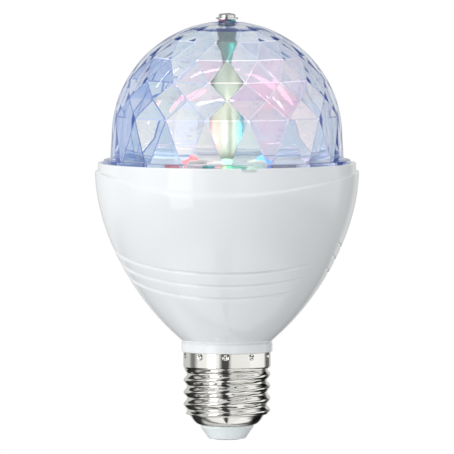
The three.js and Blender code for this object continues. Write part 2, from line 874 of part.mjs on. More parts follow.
// The board with its components, each row set out from the board's right-hand side.
function driver() {
  const fuseFootZ = driverFootZ + fuseLift;
  const fuse = disc(fuseRadius, fuseFootZ, fuseFootZ + fuseLength, smallSegments);
  const fuseOut = driverThickness / 2 + fuseRadius + seatGap;
  const can = disc(electrolyticRadius, 0, electrolyticLength);
  const electrolyticX = componentSideX - electrolyticRadius;
  const filmX = (filmLeftX + filmRightX) / 2;
  const chokeX = componentSideX - chokeRadius;
  const chipX = chokeX - chokeRadius - componentGap - driverChipSize[0] / 2;
  const rectifierX = chipX - (driverChipSize[0] + rectifierSize[0]) / 2 - componentGap;
  const middleZ = ([, , height]) => componentFootZ + height / 2;
  return group(
    0,
    piece('driver_board', driverBoard(), 0x2f6b3c, 0.5, 0),
    onFront(
      piece('film_capacitor', component(filmCapacitorSize), 0xc9a227, 0.5, 0),
      filmX,
      middleZ(filmCapacitorSize),
    ),
    onFront(
      piece('electrolytic_capacitor', can, 0x22252b, 0.4, 0.1),
      electrolyticX,
      componentFootZ + electrolyticRadius,
    ),
    onBack(
      piece('bridge_rectifier', component(rectifierSize), 0x1c1c1e, 0.5, 0),
      rectifierX,
      middleZ(rectifierSize),
    ),
    onBack(
      piece('driver_chip', component(driverChipSize), 0x1c1c1e, 0.5, 0),
      chipX,
      middleZ(driverChipSize),
    ),
    onBack(piece('choke', choke(), 0x3a3a3c, 0.6, 0.1), chokeX, componentFootZ + chokeRadius),
    place(piece('fuse_resistor', fuse, 0x8fa9b8, 0.5, 0), 0, -fuseOut, 0),
  );
}

// Leads, each on a route chosen by hand.
function leads() {
  const boardEdge = driverHalfWidth + leadRadius + seatGap;
  const canSide = canRadius + leadRadius + seatGap;
  const canFootZ = motorFloorZ;
  const under = lightBoardFootZ - seatGap;
  const tabEndZ = driverFootZ - seatGap;
  const stemZ = contactStemTopZ + seatGap;
  const shellSide = capBoreRadius - seatGap;
  const copper = (name, points, color) => piece(name, wire(points), color, 0.5, 0);
  const rise = (from, to, share) => from + (to - from) * share;
  const landingZ = rise(driverShoulderZ, driverTopZ, leadLandingShare);
  const bendZ = rise(driverShoulderZ, driverTopZ, leadUpShare);
  const toCentre = [
    [0, 0, stemZ],
    [leadRadius, 0, rise(stemZ, tabEndZ, centreLeadShares[0])],
    [-leadRadius, 0, rise(stemZ, tabEndZ, centreLeadShares[1])],
    [0, 0, tabEndZ],
  ];
  const toShell = [
    [shellSide, 0, rise(insulatorPlugTopZ, spigotFootZ, shellLeadStartShare)],
    [
      rise(shellSide, driverTabHalfWidth, shellLeadEdgeShare),
      0,
      rise(insulatorPlugTopZ, spigotFootZ, shellLeadTurnShare),
    ],
    [shellLeadEdgeShare * driverTabHalfWidth, 0, rise(spigotFootZ, tabEndZ, shellLeadTabShare)],
    [shellLeadEndShare * driverTabHalfWidth, 0, tabEndZ],
  ];
  const toMotor = (side) => {
    const lane = side * leadLane;
    return [
      [canSide - leadRadius, lane, canFootZ + 2 * canWall],
      [canSide + leadRadius, lane, canFootZ + canWall],
      [canSide, lane, canFootZ - 2 * canWall],
      [rise(boardEdge, canSide, leadOutShare), lane, bendZ],
      [boardEdge - leadRadius, side * leadLandingLane, landingZ],
    ];
  };
  const toLights = (side) => {
    const lane = side * leadLane;
    return [
      [leadRadius - boardEdge, side * leadLandingLane, landingZ],
      [-rise(boardEdge, canSide, leadOutShare), lane, bendZ],
      [-canSide - leadRadius, lane, canFootZ - 2 * canWall],
      [-canSide - 2 * leadRadius, lane, rise(canFootZ, under, lightLeadShares[0])],
      [-canSide - 2 * leadRadius, lane, rise(canFootZ, under, lightLeadShares[1])],
      [-canSide, lane, under],
    ];
  };
  return group(
    0,
    copper('lead_centre', toCentre, 0xb03028),
    copper('lead_shell', toShell, 0x2b4f9c),
    copper('motor_lead_1', toMotor(1), 0xb03028),
    copper('motor_lead_2', toMotor(-1), 0x2b4f9c),
    copper('light_lead_1', toLights(1), 0xd8b13a),
    copper('light_lead_2', toLights(-1), 0x1f1f21),
  );
}

// Pole claws: bars round the rotor, bent out of the can's floor or of the pole plate.
function claws(foot, top, phase) {
  const inner = rotorRadius + runningGap;
  const outer = inner + clawThickness;
  const bars = [];
  for (let k = 0; k < clawCount; k += 1) {
    const middle = phase + (fullTurn * k) / clawCount;
    const [from, to] = [middle - radians(clawHalfAngle), middle + radians(clawHalfAngle)];
    const at = (radius, angle) => [radius * Math.cos(angle), radius * Math.sin(angle)];
    bars.push(prism([at(inner, from), at(outer, from), at(outer, to), at(inner, to)], foot, top));
  }
  return bars;
}

// Motor can: a deep-drawn cup with claws standing on its floor.
function motorCan() {
  const cup = turned([
    [0, 0],
    [canBoreRadius, 0],
    [canRadius, canWall],
    [canRadius, canHeight],
    [canBoreRadius, canHeight],
    [canBoreRadius, canWall],
    [0, canWall],
  ], motorSegments);
  return join(cup, ...claws(canWall / 2, canWall + clawLength, 0));
}

function polePlate() {
  const [bore, rim] = [tipRadius(pinionTeeth) + runningGap, canBoreRadius - seatGap];
  const plate = washer(bore, rim, polePlateFoot, polePlateTop, motorSegments);
  const middle = (polePlateFoot + polePlateTop) / 2;
  return join(plate, ...claws(polePlateFoot - clawLength, middle, halfTurn / clawCount));
}

function coilBobbin() {
  const [foot, top] = [canWall, polePlateFoot];
  const core = bobbinBoreRadius + bobbinCoreWall;
  return ring([
    [bobbinBoreRadius, foot],
    [bobbinRadius, foot],
    [bobbinRadius, foot + bobbinFlange],
    [core, foot + bobbinFlange],
    [core, top - bobbinFlange],
    [bobbinRadius, top - bobbinFlange],
    [bobbinRadius, top],
    [bobbinBoreRadius, top],
  ], motorSegments);
}

function coilWinding() {
  const bore = bobbinBoreRadius + bobbinCoreWall + seatGap;
  const [foot, top] = [canWall + bobbinFlange + seatGap, polePlateFoot - bobbinFlange - seatGap];
  return washer(bore, windingRadius, foot, top, motorSegments);
}

// The outline of a gear with straight-sided teeth. One tooth, or one gap, points at the aim.
function gearOutline(teeth, aim, gapAtAim) {
  const pitch = fullTurn / teeth;
  const [tip, root] = [tipRadius(teeth), rootRadius(teeth)];
  const circularPitch = Math.PI * gearModule;
  const halfTip = (tipWidthShare * circularPitch) / (2 * tip);
  const halfRoot = (rootWidthShare * circularPitch) / (2 * root);
  const outline = [];
  for (let tooth = 0; tooth < teeth; tooth += 1) {
    const middle = aim + pitch * tooth + (gapAtAim ? pitch / 2 : 0);
    const corners = [[root, -halfRoot], [tip, -halfTip], [tip, halfTip], [root, halfRoot]];
    corners.forEach(([radius, offset]) => {
      outline.push([radius * Math.cos(middle + offset), radius * Math.sin(middle + offset)]);
    });
  }
  return outline;
}

// Where the two idler axles stand: at the corners of an equal-sided triangle with the motor's axis.
const idlerPlace = {
  a: [centreDistance, 0],
  b: [centreDistance / 2, (centreDistance * Math.sqrt(3)) / 2],
};
const aims = { centreToA: 0, aToCentre: halfTurn, aToB: (2 * Math.PI) / 3, bToA: -Math.PI / 3 };
aims.bToCentre = (4 * Math.PI) / 3;
aims.centreToB = Math.PI / 3;

// Rotor pinion: its hub fills the magnet's bore, and its teeth stand through the pole plate.
function rotorPinion() {
  const foot = canWall + rotorLift;
  const hub = disc(rotorBoreRadius - seatGap, foot, polePlateTop + firstLevel / 2, smallSegments);
  const teethFoot = foot + rotorHeight + seatGap;
  const outline = gearOutline(pinionTeeth, aims.centreToA, false);
  const teeth = prism(outline, teethFoot, wheelFoot(0) + wheelThickness);
  const bore = disc(centrePinRadius + seatGap, foot - overrun, wheelFoot(2), smallSegments);
  return cut(join(hub, teeth), bore);
}

function rotorMagnet() {
  const foot = canWall + rotorLift;
  return washer(rotorBoreRadius, rotorRadius, foot, foot + rotorHeight, motorSegments);
}

// A compound gear: a wheel on one level, a pinion on the next, and hubs that set its height.
function compoundGear(level, wheelAim, pinionAim) {
  const foot = wheelFoot(level);
  const wheel = prism(gearOutline(wheelTeeth, wheelAim, true), foot, foot + wheelThickness);
  const pinionTop = wheelFoot(level + 1) + wheelThickness + seatGap / 2;
  const pinion = prism(gearOutline(pinionTeeth, pinionAim, false), foot + wheelThickness / 2, pinionTop);
  const hub = disc(gearHubRadius, polePlateTop + seatGap, canHeight - seatGap, smallSegments);
  const bore = disc(axleRadius + seatGap, polePlateTop, canHeight, smallSegments);
  return cut(join(wheel, pinion, hub), bore);
}

function outputGear() {
  const foot = outputJournalFoot;
  const wheel = prism(gearOutline(wheelTeeth, aims.centreToB, true), foot, foot + wheelThickness);
  const hub = disc(outputHubRadius, foot + wheelThickness / 2, outputShoulder, partSegments);
  const radius = outputJournalRadius + seatGap;
  const bore = disc(radius, foot - overrun, outputShoulder + overrun, smallSegments);
  return cut(join(wheel, hub), bore);
}

// Output shaft: a journal in the gear, a bearing length in the bush and a spigot for the post.
function outputShaft() {
  const body = turned([
    [0, outputJournalFoot],
    [outputJournalRadius, outputJournalFoot],
    [outputJournalRadius, outputShoulder],
    [outputShaftRadius, outputShoulder],
    [outputShaftRadius, postSeat],
    [outputSpigotRadius, postSeat],
    [outputSpigotRadius, postSeat + outputSpigotHeight],
    [0, postSeat + outputSpigotHeight],
  ]);
  const radius = centrePinRadius + seatGap;
  return cut(body, disc(radius, outputJournalFoot - overrun, outputShoulder, smallSegments));
}

// Motor cover: a lid with two ears that the motor hangs by.
function motorCover() {
  const [foot, top] = [canHeight, coverTop];
  const lid = disc(canRadius, foot, top, motorSegments);
  const ears = [-earOrbit, earOrbit].map((y) => moved(disc(earRadius, foot, top), 0, y, 0));
  const bar = moved(block(2 * earRadius, 2 * earOrbit, coverThickness), 0, 0, foot);
  const holes = [-earOrbit, earOrbit].map((y) => {
    const radius = motorScrewShankRadius + seatGap;
    return moved(disc(radius, foot - overrun, top + overrun, smallSegments), 0, y, 0);
  });
  const middle = disc(bushNeckRadius + seatGap, foot - overrun, top + overrun);
  return cut(join(lid, bar, ...ears), middle, ...holes);
}

function outputBush() {
  const bore = outputShaftRadius + seatGap;
  const [foot, seat] = [canHeight, coverTop];
  return ring([
    [bore, foot],
    [bushNeckRadius, foot],
    [bushNeckRadius, seat],
    [bushRadius, seat],
    [bushRadius, seat + bushHeight],
    [bore, seat + bushHeight],
  ]);
}

function motor() {
  const axle = disc(axleRadius, polePlateTop, canHeight, smallSegments);
  const centrePin = disc(centrePinRadius, canWall, outputShoulder - seatGap, smallSegments);
  const gearA = compoundGear(0, aims.aToCentre, aims.aToB);
  const gearB = compoundGear(1, aims.bToA, aims.bToCentre);
  return group(
    motorFloorZ,
    piece('motor_can', motorCan(), 0xb9bcc0, 0.35, 1),
    piece('coil_bobbin', coilBobbin(), 0xe8e4d8, 0.5, 0),
    piece('coil_winding', coilWinding(), 0xb5651d, 0.4, 0.8),
    piece('pole_plate', polePlate(), 0xb9bcc0, 0.35, 1),
    piece('rotor_magnet', rotorMagnet(), 0x303236, 0.6, 0.2),
    piece('rotor_pinion', rotorPinion(), 0xe9e3c8, 0.5, 0),
    piece('centre_pin', centrePin, 0xc8cacd, 0.25, 1),
    place(piece('gear_axle_a', axle, 0xc8cacd, 0.25, 1), ...idlerPlace.a, 0),
    place(piece('gear_axle_b', axle.clone(), 0xc8cacd, 0.25, 1), ...idlerPlace.b, 0),
    place(piece('gear_a', gearA, 0xf1efe6, 0.5, 0), ...idlerPlace.a, 0),
    place(piece('gear_b', gearB, 0xf1efe6, 0.5, 0), ...idlerPlace.b, 0),
    piece('output_gear', outputGear(), 0xf1efe6, 0.5, 0),
    piece('output_shaft', outputShaft(), 0xc8cacd, 0.3, 1),
    piece('motor_cover', motorCover(), 0xb9bcc0, 0.35, 1),
    piece('output_bush', outputBush(), 0xc7a64a, 0.35, 1),
  );
}

function motorScrews() {
  return [-1, 1].map((side, k) => {
    const shape = screw(motorScrewHeadRadius, motorScrewHeadHeight, motorScrewShankRadius, motorScrewLength);
    return place(piece(`motor_screw_${k + 1}`, shape, 0xc8cacd, 0.3, 1), 0, side * earOrbit, coverTopZ);
  });
}

function boardScrews() {
  return boardScrewAngles.map((azimuth, k) => {
    const shape = screw(boardScrewHeadRadius, boardScrewHeadHeight, boardScrewShankRadius, boardScrewLength);
    const mesh = piece(`board_screw_${k + 1}`, shape, 0xc8cacd, 0.3, 1);
    return place(mesh, ...compass(azimuth, boardScrewOrbit), lightBoardTopZ);
  });
}

function lights() {
  const hues = { red: 0xff3b30, green: 0x35e06a, blue: 0x3a6cff };
  return Object.entries(lightAngles).flatMap(([name, azimuth]) => {
    const [x, y] = compass(azimuth, lightOrbit);
    const glow = { transparent: true, opacity: 0.8 };
    return [
      place(piece(`light_${name}`, light(), 0xf4f4f0, 0.5, 0), x, y, lightBoardTopZ),
      place(piece(`lens_${name}`, lens(), hues[name], 0.1, 0, glow), x, y, lightBoardTopZ + lightHeight),
    ];
  });
}

// The dome's outside: a flange, a skirt that leans in and a half ball with a small boss on top.
function domeOutside() {
  const bossAngle = Math.acos(bossRadius / domeRadius);
  const outline = [
    [0, 0],
    [flangeRadius, 0],
    [flangeRadius, flangeThickness],
    [skirtFootRadius, flangeThickness],
  ];
  for (let row = 0; row <= domeRows; row += 1) {
    const angle = (bossAngle * row) / domeRows;
    outline.push([domeRadius * Math.cos(angle), sphereCentre + domeRadius * Math.sin(angle)]);
  }
  outline.push([bossRadius, bossTop], [0, bossTop]);
  return turned(outline, domeSegments);
}

// The dome's inside: rows of flat triangles, each row turned half a facet from the last.
function domeFacets() {
  const turn = fullTurn / facetCount;
  const row = (radius, height, order) => {
    const points = [];
    for (let k = 0; k < facetCount; k += 1) {
      const angle = turn * (k + order / 2);
      points.push(new THREE.Vector3(radius * Math.cos(angle), radius * Math.sin(angle), height));
    }
    return points;
  };
  const foot = skirtFootRadius - domeWall;
  const rows = [row(foot, -overrun, 0), row(foot, 0, 0)];
  facetRowAngles.forEach((degrees, k) => {
    const angle = radians(degrees);
    rows.push(row(innerRadius * Math.cos(angle), sphereCentre + innerRadius * Math.sin(angle), k + 1));
  });
  rows.push(row(crownRadius, crownHeight, facetRowAngles.length + 1));
  return lofted(rows, true);
}

function crystalDome() {
  const bore = topScrewShankRadius + seatGap;
  const hole = disc(bore, crownHeight - overrun, bossTop + overrun, smallSegments);
  return cut(domeOutside(), domeFacets(), hole);
}

// Drive post: a bar with a socket for the output shaft and a hole for the top screw.
function drivePost() {
  const bar = disc(postRadius, postFootZ, crownZ);
  const socketTopZ = postFootZ + outputSpigotHeight + seatGap;
  const socket = disc(outputSpigotRadius + seatGap, postFootZ - overrun, socketTopZ, smallSegments);
  const radius = topScrewShankRadius + seatGap;
  const bore = disc(radius, crownZ - topScrewLength, crownZ + overrun, smallSegments);
  return cut(bar, socket, bore);
}

function topScrew() {
  const plain = screw(topScrewHeadRadius, topScrewHeadHeight, topScrewShankRadius, topScrewLength);
  const slots = [[crossLength, crossWidth], [crossWidth, crossLength]].map(([width, depth]) => {
    return moved(block(width, depth, crossDepth + overrun), 0, 0, topScrewHeadHeight - crossDepth);
  });
  return cut(plain, ...slots);
}

function dome() {
  const clear = { transparent: true, opacity: 0.35 };
  const washerShape = washer(topScrewShankRadius + seatGap, washerRadius, 0, washerThickness);
  return group(
    domeSeatZ,
    piece('crystal_dome', crystalDome(), 0xdfe6f5, 0.05, 0, clear),
    place(piece('top_washer', washerShape, 0xd4d6d8, 0.2, 1), 0, 0, bossTop),
    place(piece('top_screw', topScrew(), 0xd4d6d8, 0.2, 1), 0, 0, bossTop + washerThickness),
  );
}

function cap() {
  return group(
    0,
    piece('centre_contact', centreContact(), 0xc9ccce, 0.35, 1),
    piece('cap_insulator', capInsulator(), 0xe1e7eb, 0.4, 0),
    piece('screw_cap', screwCap(), 0xd2d3d0, 0.22, 1),
  );
}

const lamp = new THREE.Group();
lamp.add(
  cap(),
  piece('housing', housing(), 0xf1f1ef, 0.2, 0),
  driver(),
  leads(),
  motor(),
  ...motorScrews(),
  place(piece('light_board', lightBoard(), 0xf2f3f0, 0.45, 0), 0, 0, lightBoardFootZ),
  ...boardScrews(),
  ...lights(),
  piece('drive_post', drivePost(), 0xb6babd, 0.3, 1),
  dome(),
);

export default lamp;
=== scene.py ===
"""A disco ball lamp on a screw cap, dressed over its frame.

Every length is in millimetres until a mesh is made, when it becomes metres. An azimuth is counted
in degrees from the lamp's front, which is -Y, towards +X. The smooth step s(t) is 3t^2 - 2t^3, with
t held between 0 and 1.
"""

import logging
import math
from dataclasses import dataclass, field
from enum import Enum
from typing import Optional, Sequence

import bmesh
import bpy
import numpy as np
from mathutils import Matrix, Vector


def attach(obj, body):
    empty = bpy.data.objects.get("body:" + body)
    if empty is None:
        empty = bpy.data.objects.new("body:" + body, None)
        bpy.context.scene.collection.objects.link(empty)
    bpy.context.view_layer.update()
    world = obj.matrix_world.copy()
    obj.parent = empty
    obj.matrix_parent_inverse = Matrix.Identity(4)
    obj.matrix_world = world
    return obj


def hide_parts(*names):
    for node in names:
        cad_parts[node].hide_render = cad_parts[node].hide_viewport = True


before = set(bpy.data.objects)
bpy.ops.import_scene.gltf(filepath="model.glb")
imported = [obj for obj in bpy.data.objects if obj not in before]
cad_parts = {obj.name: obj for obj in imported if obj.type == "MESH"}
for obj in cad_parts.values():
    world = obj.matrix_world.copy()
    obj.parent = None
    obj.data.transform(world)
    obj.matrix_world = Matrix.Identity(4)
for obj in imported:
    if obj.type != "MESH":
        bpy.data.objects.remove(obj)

MM = 0.001
HUB = 0.02  # where a closed profile stops short of its axis
LOG = logging.getLogger("disco_lamp")
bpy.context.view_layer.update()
Pair = tuple[float, float]
Triple = tuple[float, float, float]
Colour = Triple
Levels = tuple[Pair, ...]
Patches = tuple[Triple, ...]
Stops = tuple[tuple[float, Colour], ...]
Solid = tuple[np.ndarray, list[np.ndarray]]
Socket = bpy.types.NodeSocket
WHITE: Colour = (1.0, 1.0, 1.0)


class Body(Enum):
    """The moving groups of the frame that pieces ride on."""

    LAMP = "lamp_body"
    DOME = "dome"


def compass(azimuth: np.ndarray | float, radius: np.ndarray | float) -> np.ndarray:
    """Places in the plan, as x = r sin a and y = -r cos a along the last axis."""
    angle = np.radians(azimuth)
    return np.stack([radius * np.sin(angle), -radius * np.cos(angle)], axis=-1)


def turning(azimuth: float) -> np.ndarray:
    """The matrix that turns rows of x and y, standing before it, by an azimuth."""
    angle = math.radians(azimuth)
    return np.array([[math.cos(angle), math.sin(angle)], [-math.sin(angle), math.cos(angle)]])


def smoothstep(low: float, high: float, value: np.ndarray) -> np.ndarray:
    """The smooth step of the share of the way from low to high."""
    share = np.clip((value - low) / (high - low), 0.0, 1.0)
    return share * share * (3.0 - 2.0 * share)


def greys(levels: Levels) -> Stops:
    """Stops of grey."""
    return tuple((place, (value,) * 3) for place, value in levels)


def along(value: np.ndarray, stops: Stops) -> np.ndarray:
    """Reads colours off a list of stops, going straight from each stop to the next.

    Args:
        value: Where to read.
        stops: The stops, in order.

    Returns:
        A row of colour for each value.
    """
    places = [place for place, _ in stops]
    channels = np.array([colour for _, colour in stops]).T
    return np.column_stack([np.interp(value, places, channel) for channel in channels])


def read(items: Sequence, name: str, width: int = 1, kind: type = float) -> np.ndarray:
    """Reads one property of everything in a mesh's list.

    Args:
        items: The mesh's vertices, loops, triangles or polygons.
        name: The property.
        width: How many numbers it has.
        kind: What they are stored as.

    Returns:
        The numbers, with one row for each item where there is more than one.
    """
    values = np.empty(len(items) * width, kind)
    items.foreach_get(name, values)
    return values.reshape(-1, width) if width > 1 else values


def rounded(corners: Sequence[Sequence[float]], radius: float, steps: int = 5) -> np.ndarray:
    """Rounds the inner corners of an open profile.

    Each corner gives way to a quadratic curve that starts and ends one radius away along its two
    sides, or half a side where the side is short: B(t) = (1-t)^2 a + 2t(1-t) c + t^2 b.

    Args:
        corners: The profile's [radius, height] corners.
        radius: How far from each corner the rounding starts.
        steps: How many stretches each rounding has.

    Returns:
        The rounded profile as an array of [radius, height] rows.
    """
    points = np.asarray(corners, float)
    share = np.linspace(0.0, 1.0, steps + 1)[:, None]
    parts = [points[:1]]
    for before, corner, after in zip(points[:-2], points[1:-1], points[2:]):
        back, ahead = before - corner, after - corner
        reach_back = min(radius, np.linalg.norm(back) / 2) / np.linalg.norm(back)
        reach_ahead = min(radius, np.linalg.norm(ahead) / 2) / np.linalg.norm(ahead)
        start, end = corner + back * reach_back, corner + ahead * reach_ahead
        parts.append((1 - share) ** 2 * start + 2 * share * (1 - share) * corner + share**2 * end)
    parts.append(points[-1:])
    return np.concatenate(parts)


def skin(points: np.ndarray, closed: bool) -> Solid:
    """Covers a grid of points whose columns go right round.

    Args:
        points: A grid with rows, columns and three coordinates.
        closed: Whether the last row joins the first. Otherwise one face covers each end row.

    Returns:
        The points one a row, and arrays of faces: those with four corners, then the end faces.
    """
    rows, columns = points.shape[:2]
    bands = rows if closed else rows - 1
    row, column = np.meshgrid(np.arange(bands), np.arange(columns), indexing="ij")
    below, above = row * columns, ((row + 1) % rows) * columns
    after = (column + 1) % columns
    quads = np.stack([below + column, below + after, above + after, above + column], axis=-1)
    faces = [quads.reshape(-1, 4)]
    if not closed:
        faces.append(np.arange(columns)[::-1][None])
        faces.append(np.arange(columns)[None] + (rows - 1) * columns)
    return points.reshape(-1, 3), faces


def turned(
    profile: np.ndarray, columns: int, at: Sequence[float] = (0, 0, 0), closed: bool = False,
) -> Solid:
    """Turns a profile about an upright axis: x = r sin a, y = -r cos a, z = h.

    Args:
        profile: Rows of [radius, height].
        columns: How many steps there are round the axis.
        at: Where the axis stands, and the height added to the profile's.
        closed: Whether the profile closes on itself, as a ring's does.

    Returns:
        The body.
    """
    plan = compass((np.arange(columns) * 360.0 / columns)[None, :], profile[:, :1])
    height = np.broadcast_to(profile[:, 1:2], plan.shape[:2])
    return skin(np.concatenate([plan, height[..., None]], axis=-1) + np.asarray(at, float), closed)


def block(
    size: Sequence[float], at: Sequence[float], azimuth: float = 0.0, edge: float = 0.08,
) -> Solid:
    """A block with eased edges, standing on a point.

    The block is four rings of an eight-cornered outline: the bottom and top rings are drawn in by
    the edge, and the two between carry the full size.

    Args:
        size: Its width, depth and height.
        at: The middle of its underside.
        azimuth: How far it is turned.
        edge: The width of the eased edges.

    Returns:
        The body.
    """
    rings = []
    for inset, z in ((edge, 0.0), (0.0, edge), (0.0, size[2] - edge), (edge, size[2])):
        x, y = size[0] / 2 - inset, size[1] / 2 - inset
        a, b = x - edge, y - edge
        plan = np.array([[a, -y], [x, -b], [x, b], [a, y], [-a, y], [-x, b], [-x, -b], [-a, -y]])
        rings.append(np.column_stack([plan @ turning(azimuth), np.full(len(plan), z)]))
    return skin(np.stack(rings) + np.asarray(at, float), False)


def make_mesh(name: str, solids: Sequence[Solid]) -> bpy.types.Mesh:
    """Puts closed bodies into one mesh, as whole arrays.

    Args:
        name: The mesh's name.
        solids: For each body, its points in millimetres, and its faces' corner numbers from 0.

    Returns:
        The mesh, in metres, with its faces turned outwards.
    """
    starts = np.cumsum([0] + [len(places) for places, _ in solids])
    points = np.concatenate([places for places, _ in solids])
    faces = [part + start for (_, parts), start in zip(solids, starts) for part in parts]
    mesh = bpy.data.meshes.new(name)
    mesh.vertices.add(len(points))
    mesh.vertices.foreach_set("co", (points * MM).astype(np.float32).ravel())
    corners = np.concatenate([part.ravel() for part in faces])
    totals = np.concatenate([np.full(len(part), part.shape[1]) for part in faces])
    mesh.loops.add(len(corners))
    mesh.loops.foreach_set("vertex_index", corners.astype(np.int32))
    mesh.polygons.add(len(totals))
    mesh.polygons.foreach_set("loop_start", (np.cumsum(totals) - totals).astype(np.int32))
    mesh.update(calc_edges=True)
    mesh.validate()
    if signed_volume(mesh) < 0:
        mesh.flip_normals()
    return mesh


def signed_volume(mesh: bpy.types.Mesh) -> float:
    """Six times the volume that a mesh encloses: the sum of a . (b x c) over its triangles.

    Args:
        mesh: The mesh.

    Returns:
        The sum, which is negative where the faces point inwards.
    """
    mesh.calc_loop_triangles()
    places = read(mesh.vertices, "co", 3, np.float32)
    corners = read(mesh.loop_triangles, "vertices", 3, np.int32)
    a, b, c = places[corners].transpose(1, 0, 2).astype(float)
    return float(np.einsum("ij,ij->", a, np.cross(b, c)))


class Wiring:
    """Short ways to add nodes to a node tree and to join them."""

    def __init__(self, tree: bpy.types.NodeTree) -> None:
        """Keeps the tree."""
        self.tree = tree

    def add(self, kind: str, inputs: Optional[dict] = None, **settings: object) -> bpy.types.Node:
        """Adds a node.

        Args:
            kind: The node's type.
            inputs: For some of its inputs, a constant or the socket that feeds it.
            settings: The node's properties, which are set before its inputs.

        Returns:
            The node.
        """
        node = self.tree.nodes.new(kind)
        for name, value in settings.items():
            setattr(node, name, value)
        self.feed(node, inputs or {})
        return node

    def feed(self, node: bpy.types.Node, inputs: dict) -> None:
        """Sets some of a node's inputs.

        Args:
            node: The node.
            inputs: For each of them, a constant or the socket that feeds it.
        """
        for name, value in inputs.items():
            if isinstance(value, Socket):
                self.tree.links.new(value, node.inputs[name])
            else:
                node.inputs[name].default_value = value

    def math(self, operation: str, first: object, second: object) -> Socket:
        """The result of a math node."""
        return self.add("ShaderNodeMath", {0: first, 1: second}, operation=operation).outputs[0]

    def product(self, first: Socket, second: Socket) -> Socket:
        """Multiplies two colours.

        Args:
            first: One of them.
            second: The other.

        Returns:
            Their product.
        """
        inputs = {"Factor": 1.0, "A": first, "B": second}
        mixer = self.add("ShaderNodeMix", inputs, data_type="RGBA", blend_type="MULTIPLY")
        return mixer.outputs["Result"]

    def noise(self, inputs: dict) -> Socket:
        """A noise that goes from 0 to 1."""
        return self.add("ShaderNodeTexNoise", inputs).outputs["Fac"]

    def choose(self, share: object, no: object, yes: object) -> Socket:
        """One shader where the share is 0, and the other where it is 1."""
        return self.add("ShaderNodeMixShader", {0: share, 1: no, 2: yes}).outputs[0]

    def attribute(self, name: str) -> Socket:
        """A colour stored in the mesh."""
        return self.add("ShaderNodeAttribute", attribute_name=name).outputs["Color"]

    def ramp(self, value: Socket, stops: Stops) -> Socket:
        """A colour ramp.

        Args:
            value: What it runs over, from 0 to 1.
            stops: Its colours and their places.

        Returns:
            The colour.
        """
        node = self.add("ShaderNodeValToRGB", {0: value})
        elements = node.color_ramp.elements
        for number, (place, colour) in enumerate(stops):
            stop = elements[number] if number < 2 else elements.new(place)
            stop.position, stop.color = place, (*colour, 1.0)
        return node.outputs["Color"]


@dataclass(frozen=True)
class Finish:
    """A procedural surface.

    Attributes:
        name: The material's name, which is its slot's.
        colour: The base colour, linear.
        metallic: 1 for bare metal, otherwise 0.
        roughness: How matt it is.
        coat: Weight of a clear gloss coat.
        clear: Transmission weight, 1 for clear pieces.
        index: Refractive index.
        drift: How far the colour and roughness drift over the piece.
        grain: Size of the drift and the relief, in patterns a metre.
        relief: Strength of the fine relief.
        depth: Depth of the relief in millimetres.
        glow: Emission colour.
        power: Emission strength.
        stretch: How the drift and the relief are stretched along the three axes.
        tint: The name of a face colour that multiplies the base colour, or nothing.
        gleam: The name of a face colour to shine in, or nothing.
        depths: The colour that a thick stretch of a clear piece takes on, or nothing.
        density: How fast it takes that colour on, a metre.
        painted_caught_glow: For a piece that lights shine through, the colour of a painted glow that
            stands in for light trapped in it, or nothing.
        bounces: How many times light is mirrored in it before that painted glow shows.
        coat_roughness: How matt the clear coat is.
    """

    name: str
    colour: Colour
    metallic: float = 0.0
    roughness: float = 0.4
    coat: float = 0.0
    clear: float = 0.0
    index: float = 1.5
    drift: float = 0.04
    grain: float = 180.0
    relief: float = 0.12
    depth: float = 0.01
    glow: Colour = (0.0, 0.0, 0.0)
    power: float = 0.0
    stretch: Triple = (1.0, 1.0, 1.0)
    tint: str = ""
    gleam: str = ""
    depths: Optional[Colour] = None
    density: float = 0.0
    painted_caught_glow: Optional[Colour] = None
    bounces: int = 4
    coat_roughness: float = 0.04

    def build(self, group: bpy.types.NodeTree) -> bpy.types.Material:
        """Makes the material.

        Args:
            group: The shared surface-drift group.

        Returns:
            The material.
        """
        material = bpy.data.materials.new(self.name)
        material.use_nodes = True
        wiring = Wiring(material.node_tree)
        shader, result = (wiring.tree.nodes[name] for name in ("Principled BSDF", "Material Output"))
        surface = wiring.add("ShaderNodeGroup", {
            "Colour": (*self.colour, 1.0), "Roughness": self.roughness, "Drift": self.drift,
            "Grain": self.grain, "Relief": self.relief, "Depth": self.depth * MM,
            "Stretch": self.stretch,
        }, node_tree=group).outputs
        colour = surface["Colour"]
        if self.tint:
            colour = wiring.product(colour, wiring.attribute(self.tint))
        wiring.feed(shader, {
            "Base Color": colour, "Metallic": self.metallic, "Roughness": surface["Roughness"],
            "Normal": surface["Normal"], "Transmission Weight": self.clear, "IOR": self.index,
            "Coat Weight": self.coat, "Coat Roughness": self.coat_roughness,
            "Emission Color": (*self.glow, 1.0), "Emission Strength": self.power,
        })
        if self.gleam:
            wiring.feed(shader, {"Emission Color": wiring.attribute(self.gleam)})
        if self.depths:
            inputs = {"Color": (*self.depths, 1.0), "Density": self.density}
            wiring.feed(result, {"Volume": wiring.add("ShaderNodeVolumeAbsorption", inputs).outputs[0]})
        if self.painted_caught_glow:
            # Painted glow: past that many mirrorings, light trapped in the piece shows as a flat
            # emitted colour.
            path = wiring.add("ShaderNodeLightPath").outputs
            late = wiring.math("GREATER_THAN", path["Glossy Depth"], self.bounces - 0.5)
            inner = wiring.add("ShaderNodeEmission", {"Color": (*self.painted_caught_glow, 1.0)}).outputs[0]
            through = wiring.add("ShaderNodeBsdfTransparent", {"Color": (*self.colour, 1.0)}).outputs[0]
            seen = wiring.choose(late, shader.outputs[0], inner)
            wiring.feed(result, {"Surface": wiring.choose(path["Is Shadow Ray"], seen, through)})
        return material


